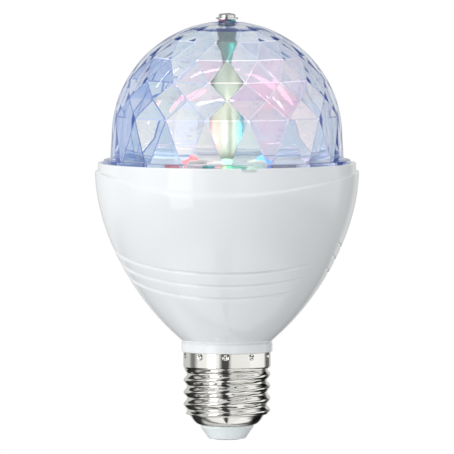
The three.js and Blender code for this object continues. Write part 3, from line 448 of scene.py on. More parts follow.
def drift_group() -> bpy.types.NodeTree:
    """The shared effect of a real surface: slow drifts of tone and gloss, and a fine relief.

    Where n is a slow noise, colour and roughness are multiplied by 1 + drift (n - 0.5). The relief
    is a noise nine times finer.

    Returns:
        The node group.
    """
    tree = bpy.data.node_groups.new("surface_drift", "ShaderNodeTree")
    for name, kind, value in (
        ("Colour", "Color", (0.8, 0.8, 0.8, 1.0)), ("Roughness", "Float", 0.4),
        ("Drift", "Float", 0.04), ("Grain", "Float", 180.0), ("Relief", "Float", 0.1),
        ("Depth", "Float", 0.00001), ("Stretch", "Vector", (1.0, 1.0, 1.0)),
    ):
        socket = tree.interface.new_socket(name, in_out="INPUT", socket_type=f"NodeSocket{kind}")
        socket.default_value = value
    for name, kind in (("Colour", "Color"), ("Roughness", "Float"), ("Normal", "Vector")):
        tree.interface.new_socket(name, in_out="OUTPUT", socket_type=f"NodeSocket{kind}")
    wiring = Wiring(tree)
    given = wiring.add("NodeGroupInput").outputs
    place = wiring.add("ShaderNodeTexCoord").outputs["Object"]
    inputs = {0: place, 1: given["Stretch"]}
    place = wiring.add("ShaderNodeVectorMath", inputs, operation="MULTIPLY").outputs[0]
    slow = wiring.noise({"Vector": place, "Scale": given["Grain"], "Detail": 2.0})
    finer = wiring.math("MULTIPLY", given["Grain"], 9.0)
    fine = wiring.noise({"Vector": place, "Scale": finer, "Detail": 3.0})
    share = {0: wiring.math("SUBTRACT", slow, 0.5), 1: given["Drift"], 2: 1.0}
    amount = wiring.add("ShaderNodeMath", share, operation="MULTIPLY_ADD").outputs[0]
    inputs = {0: given["Colour"], "Scale": amount}
    colour = wiring.add("ShaderNodeVectorMath", inputs, operation="SCALE").outputs[0]
    inputs = {"Strength": given["Relief"], "Distance": given["Depth"], "Height": fine}
    wiring.add("NodeGroupOutput", {
        "Colour": colour, "Roughness": wiring.math("MULTIPLY", given["Roughness"], amount),
        "Normal": wiring.add("ShaderNodeBump", inputs).outputs["Normal"],
    })
    return tree


FINISHES: dict[str, Finish] = {finish.name: finish for finish in (
    Finish("cap_nickel", (0.86, 0.85, 0.81), 1.0, 0.08, drift=0.10, grain=62.0, relief=0.7,
           depth=0.05, stretch=(0.3, 0.3, 1.5)),
    Finish("contact_tin", (0.72, 0.73, 0.74), 1.0, 0.30, drift=0.15, grain=320.0, relief=0.35,
           depth=0.05),
    Finish("insulator_glass", (0.87, 0.91, 0.90), 0.0, 0.3, coat=0.3, drift=0.06, relief=0.15,
           depth=0.03),
    Finish("housing_white", (0.86, 0.865, 0.865), 0.0, 0.06, drift=0.012, grain=25.0, relief=0.02),
    # Painted light: the crystal's face tints, face glow and trapped-light glow stand in for light and
    # shade.
    Finish("crystal", (0.965, 0.97, 0.975), 0.0, 0.0, clear=1.0, index=1.49, drift=0.02,
           grain=30.0, relief=0.015, power=1.0, tint="facet_painted_tint", gleam="facet_painted_glow",
           depths=(0.55, 0.68, 0.76), density=30.0, painted_caught_glow=(0.045, 0.085, 0.30)),
    Finish("post_steel", (0.135, 0.150, 0.130), 0.40, 0.34, drift=0.10, grain=90.0, relief=0.15,
           depth=0.02, stretch=(1.0, 1.0, 0.1)),
    Finish("screw_steel", (0.74, 0.74, 0.75), 1.0, 0.18, drift=0.12, grain=200.0, depth=0.02),
    Finish("board_white", (0.80, 0.78, 0.75), 0.0, 0.38, coat=0.3, drift=0.05, grain=120.0,
           relief=0.2, depth=0.02),
    Finish("light_base", (0.62, 0.62, 0.58), 0.0, 0.45, drift=0.05, grain=300.0),
    *(
        Finish(f"lens_{name}", colour, 0.0, 0.03, clear=0.35, index=1.45, drift=0.02,
               glow=glow, power=1.1)
        for name, colour, glow in (
            ("red", (0.95, 0.22, 0.20), (1.0, 0.10, 0.13)),
            ("green", (0.35, 0.92, 0.50), (0.42, 1.0, 0.52)),
            ("blue", (0.25, 0.42, 0.98), (0.08, 0.28, 1.0)),
        )
    ),
    Finish("driver_green", (0.03, 0.16, 0.06), 0.0, 0.35, coat=0.4, drift=0.15, grain=220.0),
    Finish("film_yellow", (0.62, 0.40, 0.05), 0.0, 0.35, coat=0.3),
    Finish("black_moulding", (0.018, 0.018, 0.020), 0.0, 0.48, relief=0.4, grain=500.0, depth=0.03),
    Finish("capacitor_sleeve", (0.022, 0.024, 0.035), 0.0, 0.30, coat=0.5),
    Finish("ferrite", (0.045, 0.045, 0.048), 0.0, 0.62, relief=0.5, grain=600.0, depth=0.04),
    Finish("fuse_body", (0.22, 0.36, 0.44), 0.0, 0.40, coat=0.3),
    *(Finish(f"lead_{name}", colour, 0.0, 0.36, coat=0.2) for name, colour in (
        ("red", (0.52, 0.03, 0.03)), ("blue", (0.03, 0.09, 0.40)), ("yellow", (0.72, 0.50, 0.05)),
        ("black", (0.02, 0.02, 0.02)),
    )),
    Finish("motor_steel", (0.58, 0.59, 0.60), 1.0, 0.34, drift=0.16, grain=150.0, relief=0.2,
           depth=0.03),
    Finish("bobbin_nylon", (0.78, 0.75, 0.66), 0.0, 0.45, drift=0.05),
    Finish("copper_wire", (0.72, 0.30, 0.14), 1.0, 0.30, drift=0.2, grain=260.0, relief=0.8,
           depth=0.10, stretch=(0.2, 0.2, 6.0)),
    Finish("pin_steel", (0.66, 0.67, 0.68), 1.0, 0.20),
    Finish("gear_acetal", (0.85, 0.84, 0.78), 0.0, 0.40, drift=0.05),
    Finish("bush_brass", (0.68, 0.47, 0.18), 1.0, 0.28, drift=0.12),
)}

NODES_BY_SLOT: dict[str, str] = {
    "driver_green": "driver_board",
    "film_yellow": "film_capacitor",
    "capacitor_sleeve": "electrolytic_capacitor",
    "black_moulding": "bridge_rectifier driver_chip",
    "ferrite": "choke rotor_magnet",
    "fuse_body": "fuse_resistor",
    "lead_red": "lead_centre motor_lead_1",
    "lead_blue": "lead_shell motor_lead_2",
    "lead_yellow": "light_lead_1",
    "lead_black": "light_lead_2",
    "motor_steel": "motor_can pole_plate motor_cover",
    "bobbin_nylon": "coil_bobbin",
    "copper_wire": "coil_winding",
    "pin_steel": "centre_pin gear_axle_a gear_axle_b output_shaft",
    "bush_brass": "output_bush",
    "screw_steel": "motor_screw_1 motor_screw_2",
    "gear_acetal": "rotor_pinion gear_a gear_b output_gear",
}


class Workshop:
    """Makes each material when a piece first asks for it, and puts the pieces into the lamp."""

    def __init__(self) -> None:
        """Starts with the shared group alone."""
        self.group = drift_group()
        self.made: dict[str, bpy.types.Material] = {}

    def finish(self, slot: str) -> bpy.types.Material:
        """Finds the material of a slot, or makes it.

        Args:
            slot: The record's material slot.

        Returns:
            The material.
        """
        if slot not in self.made:
            self.made[slot] = FINISHES[slot].build(self.group)
        return self.made[slot]

    def add(
        self, name: str, shape: Sequence[Solid] | bpy.types.Mesh, slot: str, stands_for: str = "",
        body: Body = Body.LAMP, crease: float = 32.0,
    ) -> bpy.types.Object:
        """Adds a finished piece to the lamp.

        Args:
            name: The piece's name.
            shape: Its mesh, or the bodies to make it of, already in place.
            slot: The record's material slot it takes its finish from.
            stands_for: The frame node it takes the place of, or nothing.
            body: The moving group it rides on.
            crease: The angle in degrees from which its edges stay sharp, or 0 for none.

        Returns:
            The new object.
        """
        mesh = shape if isinstance(shape, bpy.types.Mesh) else make_mesh(name, shape)
        piece = bpy.data.objects.new(name, mesh)
        bpy.context.scene.collection.objects.link(piece)
        mesh.materials.append(self.finish(slot))
        mesh.polygons.foreach_set("use_smooth", np.ones(len(mesh.polygons), bool))
        if crease:
            mesh.set_sharp_from_angle(angle=math.radians(crease))
        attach(piece, body.value)
        if stands_for:
            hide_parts(stands_for)
        LOG.info("%s: %d faces", name, len(mesh.polygons))
        return piece

    def dress_nodes(self) -> None:
        """Gives the frame nodes that stay, inside the lamp, their finishes."""
        for slot, names in NODES_BY_SLOT.items():
            for name in names.split():
                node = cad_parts[name]
                node.data.materials.clear()
                node.data.materials.append(self.finish(slot))


@dataclass
class HousingShell:
    """The white housing: collar, flank with swept grooves, wavy step and thin rim."""

    collar_radius: float = 13.65
    collar_foot: float = 26.5
    collar_top: float = 29.1
    collar_groove: Pair = (0.4, 0.3)  # width, depth
    collar_edge: float = 0.18
    spigot: Triple = (11.15, 9.3, 13.5)  # radius, bore, height of its foot
    flank: Levels = ((13.65, 29.9), (28.701, 42.598), (39.6, 63.6), (39.6, 81.0))
    flank_steps: int = 1200
    rim_top: float = 83.2
    rim_bend: float = 0.35
    rim_gaps: Pair = (0.05, 0.02)  # under the bend, to the flank's last ring and the lip's first
    lip_drop: float = 0.8
    band_step: float = 0.9
    wall: float = 2.3
    cavity_radius: float = 36.4
    inside_stride: int = 50
    pocket: Pair = (37.5, 80.9)  # radius, height of its floor
    wave_high: float = 80.8
    wave_rise: float = 5.4
    wave_seam: tuple[float, ...] = (0.3, 0.9, -18.0, 26.0)  # width, its growth, where, reach
    groove_sides: tuple[float, ...] = (49.9, 53.75, 57.6)
    groove_dip: float = 6.15
    groove_ends: tuple[float, ...] = (48.0, 48.75, 49.5)
    groove_start: float = -115.0
    groove_fade: float = 30.0
    groove_rise: float = 44.0
    groove_depth: float = 0.85
    groove_shape: Triple = (-0.95, 0.25, 0.52)  # lower edge, deepest line, upper edge
    notch: tuple[float, ...] = (10.0, 3.2, 5.2, 1.2)  # azimuth, width below, width above, depth
    notch_reach: float = 4.6
    notch_gap: float = 0.2
    even_columns: int = 432
    close_columns: int = 24
    between_rings: tuple[int, ...] = (26, 3, 3, 28)
    rim_rings: int = 5
    groove_rows: tuple[float, ...] = (
        -1.05, -0.8, -0.55, -0.3, -0.05, 0.12, 0.25, 0.3, 0.35, 0.42, 0.47, 0.52, 0.8,
    )
    wave_rows: tuple[float, ...] = (-1.3, -0.9, -0.6, -0.35, -0.15, 0.0, 0.15, 0.35, 0.6, 0.9, 1.3)
    boss_inset: float = 1.3
    boss_rings: int = 14
    boss_columns: int = 32
    bosses: tuple[tuple[float, ...], ...] = (  # radius, orbit, azimuth, foot, top
        (3.3, 33.4, 30.0, 58.6, 78.55), (3.3, 33.4, 150.0, 58.6, 78.55),
        (3.3, 33.4, 270.0, 58.6, 78.55), (3.2, 29.5, 0.0, 46.5, 66.45), (3.2, 29.5, 180.0, 46.5, 66.45),
    )
    crease: float = 38.0
    curve: np.ndarray = field(init=False)

    def __post_init__(self) -> None:
        """Samples the flank, a cubic curve through its four handles, as radius, height and slope."""
        t = np.linspace(0.0, 1.0, self.flank_steps + 1)[:, None]
        a, b, c, d = (np.asarray(p, float)[None] for p in self.flank)
        place = (1 - t) ** 3 * a + 3 * t * (1 - t) ** 2 * b + 3 * t**2 * (1 - t) * c + t**3 * d
        slope = 3 * (1 - t) ** 2 * (b - a) + 6 * t * (1 - t) * (c - b) + 3 * t**2 * (d - c)
        self.curve = np.hstack([place, slope / np.linalg.norm(slope, axis=1, keepdims=True)])

    def at(self, height: np.ndarray) -> tuple[np.ndarray, np.ndarray, np.ndarray]:
        """The flank's radius at a height, and how it leans: the two parts of its upward tangent."""
        return tuple(np.interp(height, self.curve[:, 1], self.curve[:, k]) for k in (0, 2, 3))

    def columns(self) -> np.ndarray:
        """The azimuths of the columns: even all round, and closer together beside the notch.

        Returns:
            The azimuths, in order.
        """
        even = np.arange(self.even_columns) * 360.0 / self.even_columns
        close = np.linspace(-self.notch_reach, self.notch_reach, self.close_columns)
        even = even[np.abs(even - self.notch[0]) > self.notch_reach + self.notch_gap]
        return np.sort(np.concatenate([even, self.notch[0] + close]))

    def fold(self, azimuth: np.ndarray) -> np.ndarray:
        """Azimuths brought into the half turn that the front set of grooves starts."""
        return (azimuth - self.groove_start) % 180.0 + self.groove_start

    def sweep(self, azimuth: np.ndarray) -> np.ndarray:
        """How far a groove has dipped, from 1 at the front to 0 at the side.

        It is the azimuth's cosine along the front set, and its half-turned copy along the back set.
        A smooth step joins the two across the gaps.

        Args:
            azimuth: The columns' azimuths.

        Returns:
            The dip at each column.
        """
        folded = self.fold(azimuth)
        end = max(self.groove_ends)
        last, first = math.cos(math.radians(end)), math.cos(math.radians(self.groove_start))
        gap = smoothstep(end, self.groove_start + 180.0, folded)
        return np.where(folded < end, np.cos(np.radians(folded)), last + (first - last) * gap)

    def fullness(self, azimuth: np.ndarray, end: float) -> np.ndarray:
        """How deep a groove is: full along most of its length, and fading towards both ends.

        It starts by a smooth step over its rise, and ends by a sine over its fade.

        Args:
            azimuth: The columns' azimuths.
            end: Where the groove ends.

        Returns:
            Shares of the full depth.
        """
        left = np.clip((end - self.fold(azimuth)) / self.groove_fade, 0.0, 1.0)
        begun = smoothstep(self.groove_start, self.groove_start + self.groove_rise, self.fold(azimuth))
        return np.sin(left * math.pi / 2) * begun

    def flank_rows(self, azimuth: np.ndarray) -> tuple[np.ndarray, np.ndarray]:
        """The flank's grid, from the collar's groove to the rim's bend.

        Its rows follow the three grooves and the wavy step, closely beside them and evenly between.
        A groove has a steep upper side and a long lower one: depth = D(1 - s((d - 0.25) / 0.27)) above
        d = 0.25 and D s((d + 0.95) / 1.2) below it, where d is the distance from its middle. The step
        sets the band back by D s(d / width), and its width grows where the real one fades from sight.

        Args:
            azimuth: The columns' azimuths.

        Returns:
            Radii and heights, one row for each ring.
        """
        wave = self.wave_high - self.wave_rise * np.cos(np.radians(azimuth)) ** 2
        sweep = self.sweep(azimuth)
        marks = [side - self.groove_dip * sweep for side in self.groove_sides]
        steps = np.array(self.groove_rows)[:, None]
        lines = [mark[None] + steps * self.at(mark)[2][None] for mark in marks]
        lines.append(wave[None] + np.array(self.wave_rows)[:, None])
        bands, last = [], np.full_like(azimuth, self.flank[0][1])
        for rows, count in zip(lines, self.between_rings):
            share = (np.arange(count) / count)[:, None]
            bands += [last[None] * (1 - share) + rows[:1] * share, rows[:-1]]
            last = rows[-1]
        share = np.linspace(0.0, 1.0, self.rim_rings)[:, None]
        highest = self.rim_top - self.rim_bend - self.rim_gaps[0]
        bands.append(last[None] * (1 - share) + highest * share)
        height = np.concatenate(bands)
        radius, lean_out, lean_up = self.at(height)
        low, middle, high = self.groove_shape
        sink = np.zeros_like(height)
        for mark, end in zip(marks, self.groove_ends):
            distance = (height - mark[None]) / self.at(mark)[2][None]
            shape = smoothstep(low, middle, distance) * (1 - smoothstep(middle, high, distance))
            sink += self.groove_depth * shape * self.fullness(azimuth, end)[None]
        narrow, wider, faded, reach = self.wave_seam
        seam = narrow + wider * np.exp(-(((azimuth - faded + 180.0) % 360.0 - 180.0) / reach) ** 2)
        back = self.band_step * smoothstep(-1.0, 1.0, (height - wave[None]) / seam[None])
        return radius - sink * lean_up - back, height + sink * lean_out

    def notched(self, azimuth: np.ndarray) -> np.ndarray:
        """How far the rim is cut down: level in the notch's middle, with smooth-step sides.

        Args:
            azimuth: The columns' azimuths.

        Returns:
            The depth of the cut at each column.
        """
        at, narrow, wide, depth = self.notch
        across = np.abs(np.radians(azimuth - at)) * self.pocket[0]
        return depth * (1 - smoothstep(narrow / 2, wide / 2, across))

    def shell(self) -> Solid:
        """The housing's skin, closed on itself through the neck.

        Its rings are the collar, the flank, the rim's lip, and the inside, which runs one wall in from
        the flank.

        Returns:
            The body.
        """
        azimuth = self.columns()
        rim, band, neck = self.rim_top, self.flank[3][0] - self.band_step, self.flank[0][1]
        width, depth = self.collar_groove
        (spigot, bore, foot), (pocket, floor) = self.spigot, self.pocket
        collar, low, high = self.collar_radius, self.collar_foot, self.collar_top
        shoulder = rounded([
            [bore, foot], [spigot, foot], [spigot, low], [collar, low], [collar, high],
            [collar - depth, high], [collar - depth, high + width], [collar, high + width],
            [collar, neck],
        ], self.collar_edge, 3)[:-1]
        lip = [[band, rim - self.rim_bend - self.rim_gaps[1]], [band, rim], [pocket, rim]]
        lip = rounded([*lip, [pocket, rim - self.lip_drop]], self.rim_bend)[1:]
        radius, height, out, up = self.curve[:: -self.inside_stride].T
        drawn = np.minimum(self.cavity_radius, radius - self.wall * up)
        drop = np.column_stack([drawn, height + self.wall * out])
        drop = drop[(drop[:, 0] > bore) & (drop[:, 1] < floor)]
        inside = np.vstack([[[pocket, floor], [self.cavity_radius, floor]], drop, [[bore, neck]]])
        radius, height = self.flank_rows(azimuth)
        cut = self.notched(azimuth)[None] * np.clip(lip[:, 1:] - rim + 1.0, 0.0, 1.0)
        even = np.ones_like(azimuth)[None]
        shoulder, lip, inside = (part[..., None] * even for part in (shoulder, lip, inside))
        radii = np.vstack([shoulder[:, 0], radius, lip[:, 0], inside[:, 0]])
        heights = np.vstack([shoulder[:, 1], height, lip[:, 1] - cut, inside[:, 1]])
        plan = compass(azimuth[None], radii)
        return skin(np.concatenate([plan, heights[..., None]], axis=-1), True)

    def boss(self, radius: float, orbit: float, azimuth: float, foot: float, top: float) -> Solid:
        """A screw boss, drawn in to the middle of the wall wherever it would pass through it.

        Args:
            radius: Its radius.
            orbit: How far it stands from the lamp's axis.
            azimuth: Its azimuth.
            foot: The height of its foot.
            top: The height of its top.

        Returns:
            The body.
        """
        heights = np.linspace(foot, top, self.boss_rings)
        profile = np.column_stack([np.full_like(heights, radius), heights])
        points, faces = turned(profile, self.boss_columns, [*compass(azimuth, orbit), 0.0])
        room = self.at(points[:, 2])[0] - self.wall / 2 * self.boss_inset
        points[:, :2] *= np.minimum(1.0, room / np.linalg.norm(points[:, :2], axis=1))[:, None]
        return points, faces

    def build(self, shop: Workshop) -> None:
        """Makes the housing."""
        solids = [self.shell(), *(self.boss(*boss) for boss in self.bosses)]
        shop.add("housing_shell", solids, "housing_white", "housing", crease=self.crease)


@dataclass
class ScrewCap:
    """The nickel screw cap with its rolled thread, its glass insulator and its centre contact."""

    foot: float = 4.5
    foot_radius: float = 8.1
    hole_radius: float = 6.6
    shoulder: float = 3.2
    shoulder_power: float = 0.5
    shoulder_inset: float = 0.75
    shoulder_gap: float = 0.2
    shoulder_fold: float = 1.79
    crest: float = 13.1
    depth: float = 1.05
    pitch: float = 3.63
    thread_height: float = 14.4
    run_out: float = 1.6
    crest_rise: float = 1.05
    skirt_height: float = 4.4
    wall: float = 0.6
    lip_bend: float = 0.3
    marks: int = 10
    mark_start: float = -38.0
    mark_radius: float = 0.9
    mark_depth: float = 0.5
    mark_drop: float = 1.2
    mark_gaps: Pair = (1.0, 0.85)  # under the marks, to the last even ring and the first close one
    dent_depth: float = 0.06
    dents: Levels = ((4.0, 2.3), (7.0, -3.1), (11.0, 4.4))  # waves round, climb
    columns: int = 330
    shoulder_rings: int = 15
    thread_rings: int = 101
    skirt_rings: int = 6
    mark_rings: int = 15
    glass_columns: int = 120
    glass_edge: float = 0.35
    contact_columns: int = 96
    contact_edge: float = 0.12
    glass: Levels = (
        (1.8, 0.95), (4.9, 0.95), (4.9, 0.3), (5.55, 0.3), (6.55, 1.75), (7.45, 3.1), (7.95, 3.6),
        (8.0, 4.4), (6.4, 4.45), (6.4, 5.2), (7.9, 5.2), (9.2, 7.3), (1.8, 7.4),
    )
    contact: Levels = (
        (HUB, 0.0), (3.5, 0.0), (4.2, 0.12), (4.6, 0.45), (4.6, 0.8), (4.4, 0.9), (1.6, 0.9),
        (1.6, 8.2), (1.4, 8.4), (HUB, 8.4),
    )

    def radius(self, angle: np.ndarray, height: np.ndarray) -> np.ndarray:
        """The cap's outer radius: a bulging shoulder, then a right-hand thread, then a plain skirt.

        The shoulder's is foot + width t^power, where t goes from 0 to 1 over its height. The
        thread is a cosine wave, crest - depth (1 - cos p) / 2 with p = 2 pi (z - first) / pitch -
        angle, faded in and out by smooth steps over its run-out at both ends. The rolls leave it
        uneven by a sum of sine waves.

        Args:
            angle: Angles in radians from +X.
            height: Heights.

        Returns:
            The radii.
        """
        start, root = self.foot + self.shoulder, self.crest - self.depth
        end = start + self.thread_height
        up = np.clip((height - self.foot) / self.shoulder, 0.0, 1.0)
        width = root - self.shoulder_inset - self.foot_radius
        shoulder = self.foot_radius + width * up**self.shoulder_power
        phase = 2 * math.pi * (height - start - self.crest_rise) / self.pitch - angle
        leaving = smoothstep(end - self.run_out, end, height)
        formed = smoothstep(start - self.run_out, start + self.run_out, height) * (1 - leaving)
        dents = sum(np.sin(turns * angle + climb * height + turns) for turns, climb in self.dents)
        uneven = self.dent_depth * (1.0 + dents / len(self.dents))
        thread = self.crest - self.depth / 2 * (1 - np.cos(phase)) - uneven
        plain = root + self.depth * leaving
        below = height < start - self.shoulder_gap / 2
        return np.where(below, shoulder, plain + (thread - plain) * formed)

    def punch(self, angle: np.ndarray, height: np.ndarray) -> np.ndarray:
        """The punch marks under the skirt's edge: depth (1 - (d / r)^2) within a radius r of each.

        Args:
            angle: Angles in radians from +X.
            height: Heights above the marks' middle.

        Returns:
            How far the skirt is pushed in.
        """
        step = 2 * math.pi / self.marks
        turn = (angle - math.radians(self.mark_start - 90.0) + step / 2) % step - step / 2
        distance = np.hypot(turn * self.crest, height)
        return self.mark_depth * np.clip(1 - (distance / self.mark_radius) ** 2, 0.0, None)

    def shell(self) -> Solid:
        """The thin shell, closed over its top edge and under its foot.

        Its rings stand closer together at the foot, where the shoulder bends, and by the marks.

        Returns:
            The body.
        """
        start, foot, wall, marked = self.foot + self.shoulder, self.foot, self.wall, self.mark_drop
        end, top = start + self.thread_height, start + self.thread_height + self.skirt_height
        angle = np.arange(self.columns) * 2 * math.pi / self.columns
        bend = np.linspace(0.0, math.pi / 2, self.shoulder_rings)
        height = np.concatenate([
            foot + (self.shoulder - self.shoulder_gap) * (1 - np.cos(bend)),
            np.linspace(start, end, self.thread_rings),
            np.linspace(end, top - marked - self.mark_gaps[0], self.skirt_rings)[1:],
            np.linspace(top - marked - self.mark_gaps[1], top - self.lip_bend, self.mark_rings),
        ])
        outside = self.radius(angle[None], height[:, None])
        outside -= self.punch(angle[None], height[:, None] - (top - marked))
        wide, bore = self.crest - wall, self.crest - self.depth - wall
        lip = [[self.crest, top - self.lip_bend], [self.crest, top], [wide, top], [wide, top - 1.0]]
        rest = np.vstack([
            rounded(lip, self.lip_bend, 4)[1:], [wide, end + wall], [bore, end], [bore, start + wall],
            [(bore + self.foot_radius) / 2, foot + self.shoulder_fold],
            [self.foot_radius, foot + wall], [self.hole_radius, foot + wall], [self.hole_radius, foot],
        ])
        radii = np.vstack([outside, np.repeat(rest[:, :1], self.columns, axis=1)])
        heights = np.concatenate([height, rest[:, 1]])[:, None] * np.ones_like(angle)[None]
        return skin(np.stack([radii * np.cos(angle), radii * np.sin(angle), heights], axis=-1), True)

    def build(self, shop: Workshop) -> None:
        """Makes the cap, the insulator and the contact.

        Args:
            shop: Puts them into the lamp.
        """
        shop.add("cap_shell", [self.shell()], "cap_nickel", "screw_cap", crease=0.0)
        glass = turned(rounded(self.glass, self.glass_edge, 4), self.glass_columns, closed=True)
        shop.add("insulator_glass", [glass], "insulator_glass", "cap_insulator", crease=40.0)
        contact = turned(rounded(self.contact, self.contact_edge, 4), self.contact_columns)
        shop.add("contact_button", [contact], "contact_tin", "centre_contact", crease=34.0)


@dataclass
class Screw:
    """A pan-head screw with a cross recess, pointing down from the origin.

    The head's rim is a circle. Its crown sinks into the recess by depth (1 - s(d / edge)), where d is
    the distance outside a cross of two bars. Each turn of the thread is four rings: a deep dip, a
    slight one, a full one and a slight one.
    """

    head_radius: float
    head_height: float
    shank_radius: float
    length: float
    bar: Pair = (0.35, 1.4)  # half its width, half its length
    recess: float = 0.7
    columns: int = 96
    pitch: float = 0.4
    dips: Pair = (0.10, 0.05)
    neck: float = 0.92
    tip: float = 0.55
    rim: float = 0.06
    bar_edge: Pair = (-0.08, 0.10)
    crown_rings: int = 8
    face_rings: int = 16
    crown_share: float = 0.45
    crown_bend: Pair = (0.15, 1.15)

    def shape(self, at: Sequence[float], turn: float) -> Solid:
        """The screw in its place.

        Args:
            at: Where the underside of its head is.
            turn: How far it is turned, in degrees.

        Returns:
            The body.
        """
        r, h, shank, last = self.head_radius, self.head_height, self.shank_radius, self.crown_bend[1]
        crown = h * self.crown_share
        rings = np.arange(round(self.length / self.pitch) * 4)
        z = self.pitch - self.length + rings * (self.length - 1.5 * self.pitch) / len(rings)
        deep, slight = self.dips
        wave = shank * (1 - deep * (rings % 4 == 0) - slight * (rings % 2 == 1))
        bend = np.linspace(*self.crown_bend, self.crown_rings)
        share = np.linspace(0.93, 0.02, self.face_rings)
        tip, neck, rim = shank * self.tip, shank * self.neck, self.rim
        profile = np.vstack([
            [[HUB, -self.length], [tip, -self.length + 0.1]], np.column_stack([wave, z]),
            [[neck, -0.1], [neck, 0.0], [r - rim, 0.0], [r, rim], [r, h - crown]],
            np.column_stack([r * np.cos(bend), h - crown + crown * np.sin(bend)]),
            np.column_stack([r * math.cos(last) * share, h - crown * (1 - math.sin(last)) * share**2]),
        ])
        points, faces = turned(profile, self.columns)
        x, y = np.abs(points[:, 0]), np.abs(points[:, 1])
        half, reach = self.bar
        outside = np.minimum(np.maximum(x - half, y - reach), np.maximum(y - half, x - reach))
        sunk = self.recess * (1 - smoothstep(*self.bar_edge, outside))
        points[:, 2] -= np.where(points[:, 2] > h * 0.5, sunk, 0.0)
        points[:, :2] = points[:, :2] @ turning(turn)
        return points + np.asarray(at, float), faces


@dataclass
class LightBoard:
    """The white board under the dome, with its lights, its screws and its small parts."""

    radius: float = 36.1
    hole: float = 4.4
    foot: float = 78.6
    top: float = 80.2
    screw: Screw = field(default_factory=lambda: Screw(2.1, 1.1, 1.1, 8.0, (0.26, 1.1), 0.5, 64))
    screw_orbit: float = 33.4
    screw_angles: Triple = (30.0, 150.0, 270.0)
    screw_turns: Triple = (20.0, 55.0, 90.0)
    plate_columns: int = 240
    edge: float = 0.12
    light_orbit: float = 12.0
    lights: tuple[tuple[str, float], ...] = (("red", -120.0), ("green", 0.0), ("blue", 120.0))
    light_radius: float = 4.0
    light_height: float = 1.8
    light_foot: Triple = (1.5, 1.5, 0.45)
    light_columns: int = 72
    light_edge: float = 0.15
    reflector: Triple = (0.15, 0.05, 0.12)  # room at its rim, room at its floor, depth
    lens_radius: float = 2.9
    chip_orbits: tuple[float, ...] = (19.0, 24.5)
    chip_turn: float = 34.0
    chip: Triple = (2.6, 1.4, 0.6)
    chip_pad: Triple = (1.1, 1.6, 0.06)
    pad_reach: float = 1.65
    bead_columns: tuple[int, int] = (20, 32)  # a chip's, a lead's
    chip_bead: Levels = ((HUB, 0.0), (0.62, 0.0), (0.5, 0.22), (HUB, 0.4))
    lead_pad: Levels = ((HUB, 0.0), (1.3, 0.0), (1.3, 0.06), (HUB, 0.06))
    lead_bead: Levels = ((HUB, 0.0), (1.0, 0.0), (0.85, 0.45), (0.3, 0.9), (HUB, 0.95))
    lead_place: Triple = (-26.0, 1.8, 2.0)  # x between the two, how far each is from it, y
    bead_rise: Triple = (0.0, 0.0, 0.05)

    def place(self, azimuth: float, orbit: float) -> np.ndarray:
        """A point on the board's top."""
        return np.array([*compass(azimuth, orbit), self.top])

    def build(self, shop: Workshop) -> None:
        """Makes the board and everything on it.

        Args:
            shop: Puts it into the lamp.
        """
        hole, radius, foot, top = self.hole, self.radius, self.foot, self.top
        plate = rounded([[hole, foot], [radius, foot], [radius, top], [hole, top]], self.edge, 3)
        plate = turned(plate, self.plate_columns, closed=True)
        shop.add("board_plate", [plate], "board_white", "light_board", crease=40.0)
        for k, (angle, turn) in enumerate(zip(self.screw_angles, self.screw_turns), 1):
            screw = self.screw.shape(self.place(angle, self.screw_orbit), turn)
            shop.add(f"plate_screw_{k}", [screw], "screw_steel", f"board_screw_{k}")
        self.build_lights(shop)
        self.build_traces(shop)

    def build_lights(self, shop: Workshop) -> None:
        """Makes each light's base, with a reflector rim and two feet, and its round lens.

        Args:
            shop: Puts them into the lamp.
        """
        r, h, lens = self.light_radius, self.light_height, self.lens_radius
        rim, floor, depth = self.reflector
        base = rounded([
            [HUB, 0.0], [r, 0.0], [r, h - 0.6], [r - 0.5, h], [lens + rim, h],
            [lens + floor, h - depth], [HUB, h - depth],
        ], self.light_edge, 3)
        bend = np.linspace(0.0, math.pi / 2, 20)[:-1]
        ball = np.column_stack([np.cos(bend), np.sin(bend)]) * lens
        ball = np.vstack([[[HUB, 0.0]], ball, [[HUB, lens]]])
        for name, angle in self.lights:
            at = self.place(angle, self.light_orbit)
            solids = [turned(base, self.light_columns, at)]
            for side in (-1, 1):
                foot = at + np.array([*compass(angle + 90.0, side * (r - 0.2)), 0.02])
                solids.append(block(self.light_foot, foot, angle))
            shop.add(f"light_body_{name}", solids, "light_base", f"light_{name}", crease=34.0)
            solids = [turned(ball, self.light_columns, at + np.array([0.0, 0.0, h - 0.1]))]
            shop.add(f"lens_ball_{name}", solids, f"lens_{name}", f"lens_{name}", crease=50.0)

    def build_traces(self, shop: Workshop) -> None:
        """Makes the copper pads, the solder and the small parts that stand between the lights.

        Args:
            shop: Puts them into the lamp.
        """
        pads, solder, chips = [], [], []
        chip_bead, lead_bead = rounded(self.chip_bead, 0.12, 3), rounded(self.lead_bead, 0.2, 3)
        few, many = self.bead_columns
        for _, angle in self.lights:
            for turn in (angle - self.chip_turn, angle + self.chip_turn):
                for orbit in self.chip_orbits:
                    at = self.place(turn, orbit)
                    chips.append(block(self.chip, at, turn, 0.1))
                    for end in (-1, 1):
                        spot = at + np.array([*compass(turn + 90.0, end * self.pad_reach), 0.0])
                        pads.append(block(self.chip_pad, spot, turn, HUB))
                        solder.append(turned(chip_bead, few, spot + self.bead_rise))
        x, apart, y = self.lead_place
        for side in (-1, 1):
            spot = np.array([side * apart + x, y, self.top])
            pads.append(turned(np.array(self.lead_pad), many, spot))
            solder.append(turned(lead_bead, many, spot + self.bead_rise))
        shop.add("board_pads", pads, "copper_wire")
        shop.add("board_solder", solder, "contact_tin")
        shop.add("board_chips", chips, "black_moulding")


